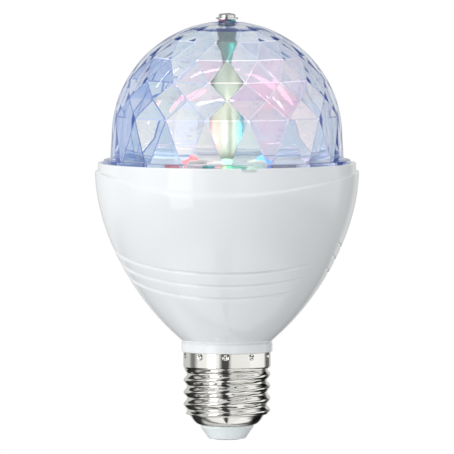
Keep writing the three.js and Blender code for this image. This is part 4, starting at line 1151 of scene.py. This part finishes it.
@dataclass
class CrystalDome:
    """The clear dome: smooth outside, and cut inside into rows of flat triangles.

    Its faces carry painted light and shade: tints, reflections, glints, highlights and glow. Patches
    are given as x, z and reach, seen from the front. Painted glints are colours by azimuth, painted
    edge reflections by x, and painted shade by z.
    """

    seat: float = 81.7
    flange_radius: float = 37.0
    flange_height: float = 2.4
    skirt_radius: float = 35.0
    radius: float = 34.6
    centre: float = 91.0
    inner: float = 32.3
    foot_radius: float = 32.7
    facets: int = 16
    rows: tuple[float, ...] = (10.5, 21.0, 31.0, 45.0, 59.0, 70.0)
    crown_radius: float = 3.6
    boss_radius: float = 2.6
    boss_top: float = 126.2
    bore: float = 1.6
    columns: int = 192
    bore_columns: int = 48
    ball_rings: int = 70
    flange_edge: float = 0.3
    crease: float = 24.0
    edge: float = 0.19
    least_fold: float = 0.05
    eased_height: float = 41.0
    strip_area: float = 4.0
    facet_height: float = 5.0
    # Painted light: cool tints, one picked at random for each facet, for the coloured light and
    # reflections seen in it.
    painted_facet_tints: tuple[Colour, ...] = (
        WHITE, (0.74, 0.84, 0.95), (0.92, 0.96, 0.96), (0.60, 0.72, 0.92), (0.84, 0.95, 0.93),
        (0.97, 0.95, 0.95), (0.86, 0.88, 0.88), (0.76, 0.80, 0.86),
    )
    # Painted light: pink from the red lens over the facets near its patches, by a share that varies.
    painted_pink_light: Colour = (1.0, 0.60, 0.76)
    pink_light_spread: Pair = (0.35, 0.65)
    pink_light_patches: Patches = ((12.0, 105.0, 10.0), (-5.0, 108.5, 5.0), (18.0, 95.0, 5.0))
    # Painted reflection: dark navy over some front facets near its patches, on the left.
    navy_reflection: Colour = (0.20, 0.34, 0.85)
    navy_reflection_strength: float = 0.7
    navy_reflection_chance: float = 0.35
    navy_reflection_patches: Patches = (
        (-23.5, 104.0, 4.0), (-30.0, 91.0, 3.0), (-19.0, 111.0, 3.5), (-29.0, 100.0, 3.0),
        (-25.0, 111.0, 3.0),
    )
    # Painted shade: the facets turn darker and bluer towards the crown.
    crown_painted_shade: Stops = (
        (90.0, (1.0, 0.99, 0.95)), (102.0, WHITE), (108.0, (0.95, 0.98, 1.0)),
        (115.0, (0.90, 0.95, 0.98)), (120.0, (0.84, 0.90, 0.93)), (124.0, (0.80, 0.87, 0.90)),
    )
    # Painted reflections on the eased edges: dark blue at the left rim, pale in the middle, grey on the
    # right.
    edge_painted_reflections: Stops = (
        (-30.0, (0.04, 0.08, 0.38)), (-20.0, (0.10, 0.18, 0.60)), (-10.0, (0.66, 0.74, 0.95)),
        (0.0, (0.97, 0.98, 1.0)), (10.0, (0.90, 0.88, 0.93)), (20.0, (0.66, 0.66, 0.80)),
        (30.0, (0.28, 0.32, 0.50)),
    )
    # Painted reflections of the red and green lenses on the boss's side.
    boss_glints: Stops = (
        (-90.0, (0.9, 0.9, 0.9)), (-70.0, (0.85, 0.10, 0.14)), (-25.0, (0.80, 0.22, 0.24)),
        (-8.0, (0.9, 0.9, 0.9)), (15.0, (0.9, 0.9, 0.9)), (30.0, (0.08, 0.62, 0.36)),
        (65.0, (0.08, 0.62, 0.36)), (90.0, (0.9, 0.9, 0.9)),
    )
    # Painted shade under the flange, which shows through it as a darker ring.
    flange_painted_shade: Colour = (0.50, 0.50, 0.62)
    # Painted glints of the lenses in the flange's side, and a dark painted reflection.
    flange_glints: Stops = (
        (-31.0, (0.80, 0.80, 0.90)), (-29.0, (0.80, 0.08, 0.10)), (-23.0, (0.80, 0.08, 0.10)),
        (-21.0, (0.80, 0.80, 0.90)), (-12.0, (0.80, 0.80, 0.90)), (-11.0, (0.04, 0.30, 0.34)),
        (-6.0, (0.04, 0.30, 0.34)), (-5.0, (1.0, 0.42, 0.48)), (0.0, (1.0, 0.42, 0.48)),
        (1.0, (0.20, 0.90, 0.55)), (7.0, (0.20, 0.90, 0.55)), (9.0, (0.70, 1.0, 0.85)),
        (16.0, (0.70, 1.0, 0.85)), (18.0, (0.80, 0.80, 0.90)), (20.0, (0.16, 0.15, 0.20)),
        (33.0, (0.16, 0.15, 0.20)), (37.0, (0.80, 0.80, 0.90)),
    )
    # Painted glow: blue light that the faces give off, stronger towards the rims, most on the left.
    painted_rim_glow: Colour = (0.0026, 0.0042, 0.0095)
    rim_glow_sides: Pair = (4.0, 1.0)  # on the left, on the right
    # Painted highlights on the level eased edges at the front.
    painted_highlight: tuple[float, ...] = (58.0, 94.0, 119.0, 0.5)  # azimuth, lowest, highest, strength
    highlight_rise: float = 0.7
    highlight_rest: float = 0.12
    highlight_blush: float = 0.6
    highlight_channels: Triple = (0.0, 1.0, 0.7)
    lit_squash: float = 0.3
    # Painted pools of lens light on the front facets, given as x, z, reach and colour.
    lit_patches: tuple[tuple[float, float, float, Colour], ...] = (
        (-1.5, 89.5, 3.6, (0.13, 0.13, 0.10)), (-7.0, 89.0, 2.4, (0.12, 0.03, 0.05)),
        (6.0, 90.5, 2.6, (0.0, 0.06, 0.08)),
    )

    @staticmethod
    def ring(radius: float, height: float, count: int, start: float = 0.0) -> np.ndarray:
        """A circle of points: x = r cos a, y = r sin a, from a starting angle in turns."""
        angle = 2 * math.pi * (np.arange(count) / count + start)
        return np.column_stack([radius * np.cos(angle), radius * np.sin(angle), np.full(count, height)])

    @staticmethod
    def fan(few: np.ndarray, many: np.ndarray) -> np.ndarray:
        """Triangles between two rings of point numbers that start at the same angle.

        Each side of the finer ring goes to the nearest corner of the coarser one, and each side of the
        coarser one to the finer corner half-way along it.

        Args:
            few: The coarser ring.
            many: The finer ring.

        Returns:
            The triangles, one a row.
        """
        m, n = len(few), len(many)
        near = np.floor((np.arange(n) + 0.5) * m / n + 0.5).astype(int) % m
        half = ((np.arange(m) + 0.5) * n / m).astype(int) % n
        first = np.column_stack([many, np.roll(many, -1), few[near]])
        return np.vstack([first, np.column_stack([few, many[half], np.roll(few, -1)])])

    def outside(self) -> np.ndarray:
        """The outer profile: the flange, the skirt, a ball about its centre, and the boss.

        Returns:
            Rows of [radius, height].
        """
        side, flange, boss = self.flange_radius, self.seat + self.flange_height, self.boss_radius
        foot = rounded([
            [side - 1.0, self.seat], [side, self.seat], [side, flange], [self.skirt_radius, flange],
            [self.radius, self.centre],
        ], self.flange_edge, 4)[1:]
        bend = np.linspace(0.0, math.acos((boss + 0.15) / self.radius), self.ball_rings)[1:]
        ball = np.column_stack([self.radius * np.cos(bend), self.centre + self.radius * np.sin(bend)])
        top = [[boss, self.boss_top - 0.45], [boss, self.boss_top - 0.1], [boss - 0.1, self.boss_top]]
        return np.vstack([foot, ball, top])

    def mesh(self) -> tuple[bpy.types.Mesh, int]:
        """The dome as one closed body.

        Inside, each ring of corners is turned half a facet on from the one below, and two triangles
        fill each gap. Fans join those rings to the outside and to the bore.

        Returns:
            The mesh, and how many of its faces, which come first, are smooth.
        """
        profile = self.outside()
        count, n, m, k = len(profile), self.columns, self.facets, self.bore_columns
        outer, (smooth,) = skin(np.stack([self.ring(r, z, n) for r, z in profile]), True)
        smooth = smooth[: (count - 1) * n]
        crown = self.centre + math.sqrt(self.inner**2 - self.crown_radius**2)
        angles = np.radians(self.rows)
        ball = zip(self.inner * np.cos(angles), self.centre + self.inner * np.sin(angles))
        levels = [(self.foot_radius, self.seat), *ball, (self.crown_radius, crown)]
        inner = np.vstack([self.ring(r, z, m, step / 2 / m) for step, (r, z) in enumerate(levels)])
        base, top = count * n, len(levels) - 1
        row, column = np.meshgrid(np.arange(top), np.arange(m), indexing="ij")
        here, ahead = base + row * m + column, base + row * m + (column + 1) % m
        above, above_back = base + (row + 1) * m + column, base + (row + 1) * m + (column - 1) % m
        up = np.stack([ahead, here, above], axis=-1).reshape(-1, 3)
        down = np.stack([here, above_back, above], axis=-1).reshape(-1, 3)
        start = top / 2 / m
        bore = np.vstack([self.ring(self.bore, z, k, start) for z in (crown, self.boss_top)])
        low = base + (top + 1) * m + np.arange(k)
        after = np.roll(low, -1)
        tube = np.column_stack([low, after, after + k, low + k])
        under = self.fan(base + np.arange(m), np.arange(n))
        ceiling = self.fan(base + top * m + np.arange(m), low)
        cover = self.fan(low + k, (count - 1) * n + np.roll(np.arange(n), -round(start * n)))
        faces = [smooth, tube[:, ::-1], under[:, ::-1], ceiling, cover, up, down]
        return make_mesh("dome_shell", [(np.vstack([outer, inner, bore]), faces)]), len(smooth) + k

    def ease(self, mesh: bpy.types.Mesh, smooth: int) -> None:
        """Rounds the edges between facets, and keeps the outside smooth and every facet flat.

        Args:
            mesh: The dome's mesh.
            smooth: How many of its faces, which come first, are smooth.
        """
        mesh.polygons.foreach_set("use_smooth", np.arange(len(mesh.polygons)) < smooth)
        edit = bmesh.new()
        edit.from_mesh(mesh)
        foot, top = (self.seat + 0.1) * MM, (self.seat + self.eased_height) * MM
        edges = []
        for edge in edit.edges:
            low, high = sorted(vertex.co.z for vertex in edge.verts)
            flat = all(len(face.verts) == 3 and not face.smooth for face in edge.link_faces)
            within = low > foot - 0.2 * MM and foot < high < top
            if flat and within and edge.calc_face_angle(0.0) > self.least_fold:
                edges.append(edge)
        width = self.edge * MM
        bmesh.ops.bevel(edit, geom=edges, offset=width, segments=2, profile=0.5, affect="EDGES")
        edit.to_mesh(mesh)
        edit.free()

    @staticmethod
    def nearness(
        x: np.ndarray, z: np.ndarray, patch: Sequence[float], squash: float = 1.0,
    ) -> np.ndarray:
        """How near each face is to a patch's middle: exp(-d^2 / reach^2)."""
        across, height, reach = patch[:3]
        return np.exp(-((x - across) ** 2 + squash * (z - height) ** 2) / reach**2)

    def paint(self, mesh: bpy.types.Mesh) -> None:
        """Paints light and shade into each face: the tint it lets through and the glow it gives off.

        A facet numbered n draws a chance c, the fraction of 43758.5453 sin(12.9898 n), which picks one
        of the cool tints, painted coloured light and reflections. Painted pink light comes over it by
        (0.35 + 0.65 c) times its nearness to its patches, and a painted navy reflection by its nearness
        to its own patches, on the front alone. The tints turn darker and bluer towards the crown, as
        painted shade. Narrow strips, which are the eased edges, go from dark painted reflections at the
        rims to pale in the middle, and level ones there shine with painted highlights, each by its own
        chance. A painted glow of blue light grows with (x / R)^4.

        Args:
            mesh: The dome's mesh.
        """
        x, y, z = (read(mesh.polygons, "center", 3) / MM).T
        shaded = read(mesh.polygons, "use_smooth", 1, bool)
        strip = read(mesh.polygons, "area") < self.strip_area * MM * MM
        azimuth = np.degrees(np.arctan2(x, -y))
        column = np.floor(azimuth * self.facets / 180.0 + 0.5)
        row = np.floor((z - self.seat) / self.facet_height)
        chance = np.abs(np.sin((column * 3.0 + row * 17.0) * 12.9898) * 43758.5453) % 1.0
        # Painted light: each facet's random cool tint.
        painted_facet_tints = np.asarray(self.painted_facet_tints)
        colour = painted_facet_tints[np.clip(chance * len(painted_facet_tints), 0, len(painted_facet_tints) - 1).astype(int)]
        # Painted pink light near its patches.
        pink_light = np.clip(sum(self.nearness(x, z, patch) for patch in self.pink_light_patches), 0.0, 1.0)
        least, spread = self.pink_light_spread
        pink_light = (pink_light * (least + spread * (chance * 7.3 % 1.0)))[:, None]
        colour = colour + (np.asarray(self.painted_pink_light) - colour) * pink_light
        # Painted navy reflection near its patches, on the front.
        reflected = np.clip(sum(self.nearness(x, z, patch) for patch in self.navy_reflection_patches), 0.0, 1.0)
        reflected = self.navy_reflection_strength * reflected * ((y < 0.0) & (chance > self.navy_reflection_chance))
        colour = colour + (np.asarray(self.navy_reflection) - colour) * reflected[:, None]
        # Painted shade towards the crown.
        colour = colour * along(z, self.crown_painted_shade)
        reach = np.hypot(x, y)
        flange = self.seat + self.flange_height
        side = (reach > self.flange_radius - self.flange_edge) & (z < flange)
        boss = shaded & (reach < self.boss_radius + 0.2) & (z < self.boss_top - 0.02)
        # Painted reflections on the edge strips and the flange's side, painted shade under the flange,
        # and painted lens light on the boss.
        for where, paint in (
            (strip, along(x, self.edge_painted_reflections)), (shaded, 1.0),
            (side, along(azimuth, self.flange_glints)),
            (shaded & (z < self.seat + 0.05), self.flange_painted_shade),
            (boss, along(azimuth, self.boss_glints)),
        ):
            colour = np.where(where[:, None], paint, colour)
        corners = read(mesh.vertices, "co", 3)[read(mesh.loops, "vertex_index", 1, np.int32), 2] / MM
        starts = read(mesh.polygons, "loop_start", 1, np.int32)
        climb = np.maximum.reduceat(corners, starts) - np.minimum.reduceat(corners, starts)
        # Painted highlights on level strips at the front, pinker where the pink light is.
        span, low, high, power = self.painted_highlight
        lit = strip & (np.abs(azimuth) < span) & (z > low) & (z < high) & ~shaded
        part = np.where(climb < self.highlight_rise, chance * 3.1 % 1.0, self.highlight_rest)
        share = (power * lit * part)[:, None]
        # Painted blue glow, growing towards the rims.
        rims = np.where(x < 0.0, *self.rim_glow_sides) * (x / self.radius) ** 4
        painted_rim_glow = np.asarray(self.painted_rim_glow) * (1.0 + rims)[:, None]
        shine = painted_rim_glow + share * (1.0 - self.highlight_blush * pink_light * np.array(self.highlight_channels))
        # Painted pools of lens light on the front facets.
        for patch in self.lit_patches:
            near = self.nearness(x, z, patch, self.lit_squash) * ((y < 0.0) & ~shaded)
            shine = shine + near[:, None] * np.asarray(patch[3])
        # Stores the painted tints and the painted glow as face colours.
        for name, rows in (("facet_painted_tint", colour), ("facet_painted_glow", shine)):
            layer = mesh.attributes.new(name, "FLOAT_COLOR", "FACE")
            rows = np.column_stack([rows, np.ones(len(rows))])
            layer.data.foreach_set("color", rows.astype(np.float32).ravel())

    def build(self, shop: Workshop) -> None:
        """Makes the dome.

        Args:
            shop: Puts it into the lamp.
        """
        mesh, smooth = self.mesh()
        self.ease(mesh, smooth)
        shaded = read(mesh.polygons, "use_smooth", 1, bool)
        self.paint(mesh)
        shop.add("dome_shell", mesh, "crystal", "crystal_dome", Body.DOME, self.crease)
        mesh.polygons.foreach_set("use_smooth", shaded)


@dataclass
class DriveTop:
    """The post under the crown, and the washer and screw that hold the dome on it."""

    post_radius: float = 2.75
    post_foot: float = 71.0
    crown: float = 123.1
    socket: Pair = (2.0, 79.8)  # radius, height of its end
    hole: Triple = (1.6, 0.4, 12.0)  # radius, radius at its tip, depth
    washer: tuple[float, ...] = (1.6, 3.35, 126.2, 126.7)  # hole, radius, underside, top
    columns: int = 96
    post_edge: float = 0.25
    washer_edge: float = 0.12
    cone: float = 0.6
    screw_turn: float = 35.0
    screw: Screw = field(default_factory=lambda: Screw(2.55, 1.3, 1.3, 12.0, (0.33, 1.35), 0.7, 120))

    def build(self, shop: Workshop) -> None:
        """Makes the post, the washer and the screw.

        Args:
            shop: Puts them into the lamp.
        """
        r, foot, top = self.post_radius, self.post_foot, self.crown - 0.02
        (bore, socket_top), (hole, tip, depth) = self.socket, self.hole
        post = rounded([
            [bore, foot], [r, foot], [r, top], [hole, top], [hole, self.crown - depth],
            [tip, self.crown - depth - self.cone], [tip, socket_top + self.cone], [bore, socket_top],
        ], self.post_edge, 4)
        post = turned(post, self.columns, closed=True)
        shop.add("post_bar", [post], "post_steel", "drive_post", Body.DOME)
        hole, rim, low, high = self.washer
        ring = [[hole, low], [rim, low], [rim, high], [hole, high], [hole, low + 0.1]]
        ring = turned(rounded(ring, self.washer_edge, 3), self.columns, closed=True)
        shop.add("crown_washer", [ring], "screw_steel", "top_washer", Body.DOME)
        screw = self.screw.shape([0.0, 0.0, high], self.screw_turn)
        shop.add("crown_screw", [screw], "screw_steel", "top_screw", Body.DOME, 40.0)


@dataclass
class Studio:
    """A white studio: soft lights round the lamp, and a background that is white behind it.

    Soft lights are given as their place (azimuth, orbit and height), size, power, colour, and whether
    bright and clear surfaces mirror them. Glows are given as azimuth, orbit, height, colour and power,
    and sparkles as azimuth, orbit, size, colour and power.
    """

    target: Triple = (0.0, 0.0, 63.8)
    distance: float = 3000.0
    floor_radius: float = 700.0
    floor_gap: float = 0.1
    floor_sides: int = 96
    elevation: float = 3.2
    sensor: float = 36.0
    lens: float = 793.0
    clip: Pair = (0.1, 20.0)
    soft_lights: tuple[tuple[str, Triple, Pair, float, Colour, bool], ...] = (
        ("key_left", (-41.5, 800.0, 150.0), (325.0, 900.0), 1.5, WHITE, True),
        ("fill_right", (112.0, 800.0, 70.0), (300.0, 600.0), 0.8, WHITE, False),
        ("fill_board", (0.0, 0.0, 119.0), (26.0, 26.0), 0.0082, (0.98, 1.0, 0.98), False),
    )
    matt_stops: Stops = (
        (0.0, (0.98, 1.0, 1.02)), (0.45, (0.92, 0.95, 0.98)), (1.0, (0.50, 0.515, 0.52)),
    )
    matt_rises: Levels = ((0.0, 0.72), (0.35, 0.88), (0.5, 0.98), (0.75, 1.12), (1.0, 1.25))
    bands: Levels = (
        (-180.0, 0.55), (-168.0, 0.60), (-120.0, 0.66), (-108.0, 0.22), (-97.0, 0.22),
        (-82.0, 0.95), (-23.0, 1.02), (-13.0, 0.07), (3.0, 0.07), (12.0, 0.90), (60.0, 0.94),
        (68.0, 1.05), (115.0, 0.98), (125.0, 0.16), (143.0, 0.12), (156.0, 0.70), (180.0, 0.55),
    )
    rises: Levels = (
        (0.0, 1.05), (0.12, 1.0), (0.18, 0.06), (0.33, 0.03), (0.38, 1.0), (0.66, 1.05), (0.70, 0.05),
        (0.77, 0.05), (0.83, 1.0), (1.0, 0.9),
    )
    deeps: Stops = (
        (0.0, (0.06, 0.11, 0.42)), (0.25, (0.28, 0.38, 0.80)), (0.7, (0.90, 0.93, 1.0)),
        (1.0, WHITE),
    )
    patch_scale: float = 3.2
    patches: Stops = (
        (0.0, (0.60, 0.69, 0.86)), (0.40, (0.80, 0.86, 0.91)), (0.48, (0.92, 0.94, 0.93)),
        (0.54, (0.99, 0.98, 0.96)), (0.60, (0.99, 0.91, 0.91)), (0.70, (0.92, 0.96, 0.93)),
        (1.0, (0.84, 0.90, 0.92)),
    )
    rims: Stops = (
        (0.0, (0.50, 0.58, 0.78)), (0.15, (0.62, 0.69, 0.87)), (0.33, (0.93, 0.96, 0.98)),
        (0.5, WHITE), (0.67, (0.95, 0.95, 0.96)), (0.85, (0.78, 0.79, 0.86)),
        (1.0, (0.74, 0.74, 0.78)),
    )
    streak_scale: float = 14.0
    streaks: Stops = (
        (0.0, (0.94, 0.96, 1.0)), (0.40, WHITE), (0.425, (0.66, 0.74, 0.94)),
        (0.45, WHITE), (0.50, (1.06, 1.06, 1.06)), (0.515, (0.80, 0.80, 0.90)),
        (0.53, WHITE), (0.60, WHITE), (0.62, (0.84, 0.76, 0.86)),
        (0.64, WHITE), (1.0, WHITE),
    )
    glow_cone: float = 92.0
    glow_blend: float = 0.5
    glow_size: float = 1.2
    glows: tuple[tuple[str, float, float, float, Colour, float], ...] = (
        ("red", -80.0, 8.0, 90.0, (1.0, 0.14, 0.24), 0.013),
        ("cream", -12.0, 11.0, 91.5, (1.0, 0.97, 0.84), 0.058),
        ("cyan", 85.0, 8.0, 92.0, (0.02, 0.60, 0.95), 0.011),
        ("pale", 5.0, 12.0, 104.0, (0.96, 1.0, 0.86), 0.056),
        ("teal", 35.0, 8.0, 115.5, (0.0, 0.75, 0.72), 0.0052),
    )
    sparkle_height: float = 84.0
    sparkle_width: float = 3.2
    sparkles: tuple[tuple[str, float, float, float, Colour, float], ...] = (
        ("red", 168.0, 16.5, 1.5, (1.0, 0.16, 0.28), 0.0003),
        ("rose", 145.0, 13.5, 1.6, (1.0, 0.30, 0.42), 0.00028),
        ("pink", -170.0, 20.0, 1.6, (1.0, 0.36, 0.48), 0.00026),
        ("white", -150.0, 13.0, 1.6, (1.0, 0.98, 1.0), 0.0004),
        ("cyan", 118.0, 15.0, 1.6, (0.60, 0.90, 1.0), 0.0004),
        ("coral", 160.0, 22.0, 1.4, (1.0, 0.24, 0.28), 0.00026),
        ("dash_1", 176.0, 14.0, 0.9, (1.0, 0.96, 1.0), 0.00016),
        ("dash_2", 152.0, 18.5, 0.9, (1.0, 0.90, 0.94), 0.00014),
        ("dash_3", -166.0, 17.0, 0.9, WHITE, 0.00015),
        ("dash_4", 132.0, 20.0, 0.9, (1.0, 0.80, 0.86), 0.00014),
        ("dash_5", -142.0, 19.0, 0.9, (0.9, 0.96, 1.0), 0.00014),
        ("dash_6", 172.0, 26.0, 0.9, (1.0, 0.84, 0.88), 0.00016),
        ("dash_7", -178.0, 11.0, 0.9, (1.0, 0.92, 0.94), 0.00014),
        ("dash_8", 143.0, 25.0, 0.9, (1.0, 0.78, 0.84), 0.00014),
        ("dash_9", 160.0, 12.5, 0.8, (1.0, 0.70, 0.78), 0.00012),
        ("dash_10", 178.0, 20.5, 0.8, (1.0, 0.62, 0.72), 0.00012),
        ("dash_11", 150.0, 22.5, 0.8, (1.0, 0.94, 0.96), 0.00013),
        ("dash_12", -158.0, 23.5, 0.8, (1.0, 0.96, 1.0), 0.00013),
    )

    @staticmethod
    def aim(piece: bpy.types.Object, place: Sequence[float], target: Sequence[float]) -> None:
        """Puts an object at a place and turns it to face another.

        Args:
            piece: The object.
            place: Where it stands.
            target: What it faces.
        """
        piece.location = Vector(place) * MM
        piece.rotation_mode = "QUATERNION"
        piece.rotation_quaternion = (Vector(target) * MM - piece.location).to_track_quat("-Z", "Y")

    def camera(self) -> None:
        """A long lens a little above the lamp, as in the picture."""
        data = bpy.data.cameras.new("camera")
        data.sensor_width, data.lens = self.sensor, self.lens
        data.clip_start, data.clip_end = self.clip
        camera = bpy.data.objects.new("camera", data)
        bpy.context.scene.collection.objects.link(camera)
        rise = math.radians(self.elevation)
        place = np.array(self.target) + self.distance * np.array([0.0, -math.cos(rise), math.sin(rise)])
        self.aim(camera, place, self.target)
        bpy.context.scene.camera = camera

    @staticmethod
    def light(
        name: str, kind: str, colour: Colour, power: float, **settings: object,
    ) -> bpy.types.Object:
        """Adds a light that the camera doesn't see.

        Args:
            name: Its name.
            kind: Its type.
            colour: Its colour.
            power: Its power in watts.
            settings: Its other properties.

        Returns:
            The light.
        """
        data = bpy.data.lights.new(name, kind)
        data.energy, data.color = power, colour
        for setting, value in settings.items():
            setattr(data, setting, value)
        light = bpy.data.objects.new(name, data)
        bpy.context.scene.collection.objects.link(light)
        light.visible_camera = False
        return light

    def lights(self) -> None:
        """Makes the soft lights that face the lamp, then the glows and the sparkles.

        A glow is some of the light that the lit lenses throw on the post. A sparkle is a flat lit
        patch over the board, mirrored in the facets. Neither is seen through a clear piece.
        """
        for name, place, (width, height), power, colour, mirrored in self.soft_lights:
            shape = {"shape": "RECTANGLE", "size": width * MM, "size_y": height * MM}
            light = self.light(name, "AREA", colour, power, **shape)
            self.aim(light, [*compass(*place[:2]), place[2]], self.target)
            light.visible_glossy = light.visible_transmission = mirrored
        shape = {"spot_size": math.radians(self.glow_cone), "spot_blend": self.glow_blend}
        for name, azimuth, orbit, height, colour, power in self.glows:
            size = self.glow_size * MM
            light = self.light(f"glow_{name}", "SPOT", colour, power, shadow_soft_size=size, **shape)
            self.aim(light, [*compass(azimuth, orbit), height], [0.0, 0.0, height + 1.0])
            light.visible_transmission = False
        for name, azimuth, orbit, size, colour, power in self.sparkles:
            shape = {"shape": "ELLIPSE", "size": self.sparkle_width * size * MM, "size_y": size * MM}
            light = self.light(f"sparkle_{name}", "AREA", colour, power, **shape)
            light.location = Vector([*compass(azimuth, orbit), self.sparkle_height]) * MM
            light.rotation_euler = (math.pi, 0.0, 0.0)
            light.visible_transmission = False

    def world(self) -> None:
        """The surroundings: white to the camera, and a different room to each other kind of ray.

        Matt surfaces get an even white room that is brighter on the left. Bright ones reflect upright
        bands, light and dark, whose dark ones turn blue inside the dome. Clear ones show a pale blue
        room with faint coloured patches.
        """
        world = bpy.data.worlds.new("studio")
        world.use_nodes = True
        bpy.context.scene.world = world
        world.node_tree.nodes.clear()
        wiring = Wiring(world.node_tree)
        place = wiring.add("ShaderNodeTexCoord").outputs["Generated"]
        x, y, z = wiring.add("ShaderNodeSeparateXYZ", {0: place}).outputs
        turn = wiring.math("ARCTAN2", x, wiring.math("MULTIPLY", y, -1.0))
        azimuth = wiring.math("ADD", wiring.math("DIVIDE", turn, 2 * math.pi), 0.5)
        side, rise = (wiring.math("ADD", wiring.math("MULTIPLY", axis, 0.5), 0.5) for axis in (x, z))
        rising = wiring.ramp(rise, greys(self.matt_rises))
        matt = wiring.product(wiring.ramp(side, self.matt_stops), rising)
        bands = greys(tuple(((degrees + 180.0) / 360.0, value) for degrees, value in self.bands))
        bright = wiring.product(wiring.ramp(azimuth, bands), wiring.ramp(rise, greys(self.rises)))
        wide = wiring.noise({"Vector": place, "Scale": self.patch_scale, "Detail": 1.5})
        fine = {"Scale": self.streak_scale, "Detail": 1.0, "Distortion": 1.2}
        fine = wiring.noise({"Vector": place, **fine})
        clear = wiring.product(wiring.ramp(wide, self.patches), wiring.ramp(fine, self.streaks))
        clear = wiring.product(clear, wiring.ramp(side, self.rims))
        matt, bright, deep, clear, white = (
            wiring.add("ShaderNodeBackground", {"Color": colour, "Strength": 1.0}).outputs[0]
            for colour in (matt, bright, wiring.ramp(bright, self.deeps), clear, (1.0, 1.0, 1.0, 1.0))
        )
        path = wiring.add("ShaderNodeLightPath").outputs
        inside = wiring.math("GREATER_THAN", path["Transmission Depth"], 0.5)
        bright = wiring.choose(inside, bright, deep)
        surface = wiring.choose(path["Is Glossy Ray"], matt, bright)
        surface = wiring.choose(path["Is Transmission Ray"], surface, clear)
        surface = wiring.choose(path["Is Camera Ray"], surface, white)
        wiring.add("ShaderNodeOutputWorld", {"Surface": surface})

    def floor(self) -> None:
        """A pale floor that the camera sees from above, and that neither lights nor shades the lamp."""
        material = bpy.data.materials.new("pale_floor")
        material.use_nodes = True
        wiring = Wiring(material.node_tree)
        wiring.tree.nodes.clear()
        below = wiring.add("ShaderNodeNewGeometry").outputs["Backfacing"]
        pale = wiring.add("ShaderNodeEmission").outputs[0]
        clear = wiring.add("ShaderNodeBsdfTransparent").outputs[0]
        wiring.add("ShaderNodeOutputMaterial", {"Surface": wiring.choose(below, pale, clear)})
        sides = self.floor_sides
        rim = compass(-np.arange(sides) * 360.0 / sides, self.floor_radius)
        points = np.column_stack([rim, np.full(sides, -self.floor_gap)])
        mesh = bpy.data.meshes.new("studio_floor")
        mesh.from_pydata((points * MM).tolist(), [], [list(range(sides - 1, -1, -1))])
        mesh.materials.append(material)
        floor = bpy.data.objects.new("studio_floor", mesh)
        bpy.context.scene.collection.objects.link(floor)
        for ray in ("diffuse", "glossy", "transmission", "shadow"):
            setattr(floor, f"visible_{ray}", False)

    def build(self) -> None:
        """Makes the camera, the floor, the lights and the background."""
        self.camera()
        self.floor()
        self.world()
        self.lights()
        bpy.context.scene.view_settings.view_transform = "Standard"


def main() -> None:
    """Builds the lamp over its frame."""
    logging.basicConfig(level=logging.INFO, format="%(name)s: %(message)s")
    shop = Workshop()
    for assembly in (HousingShell(), ScrewCap(), LightBoard(), CrystalDome(), DriveTop()):
        assembly.build(shop)
    shop.dress_nodes()
    Studio().build()


if __name__ == "__main__":
    main()
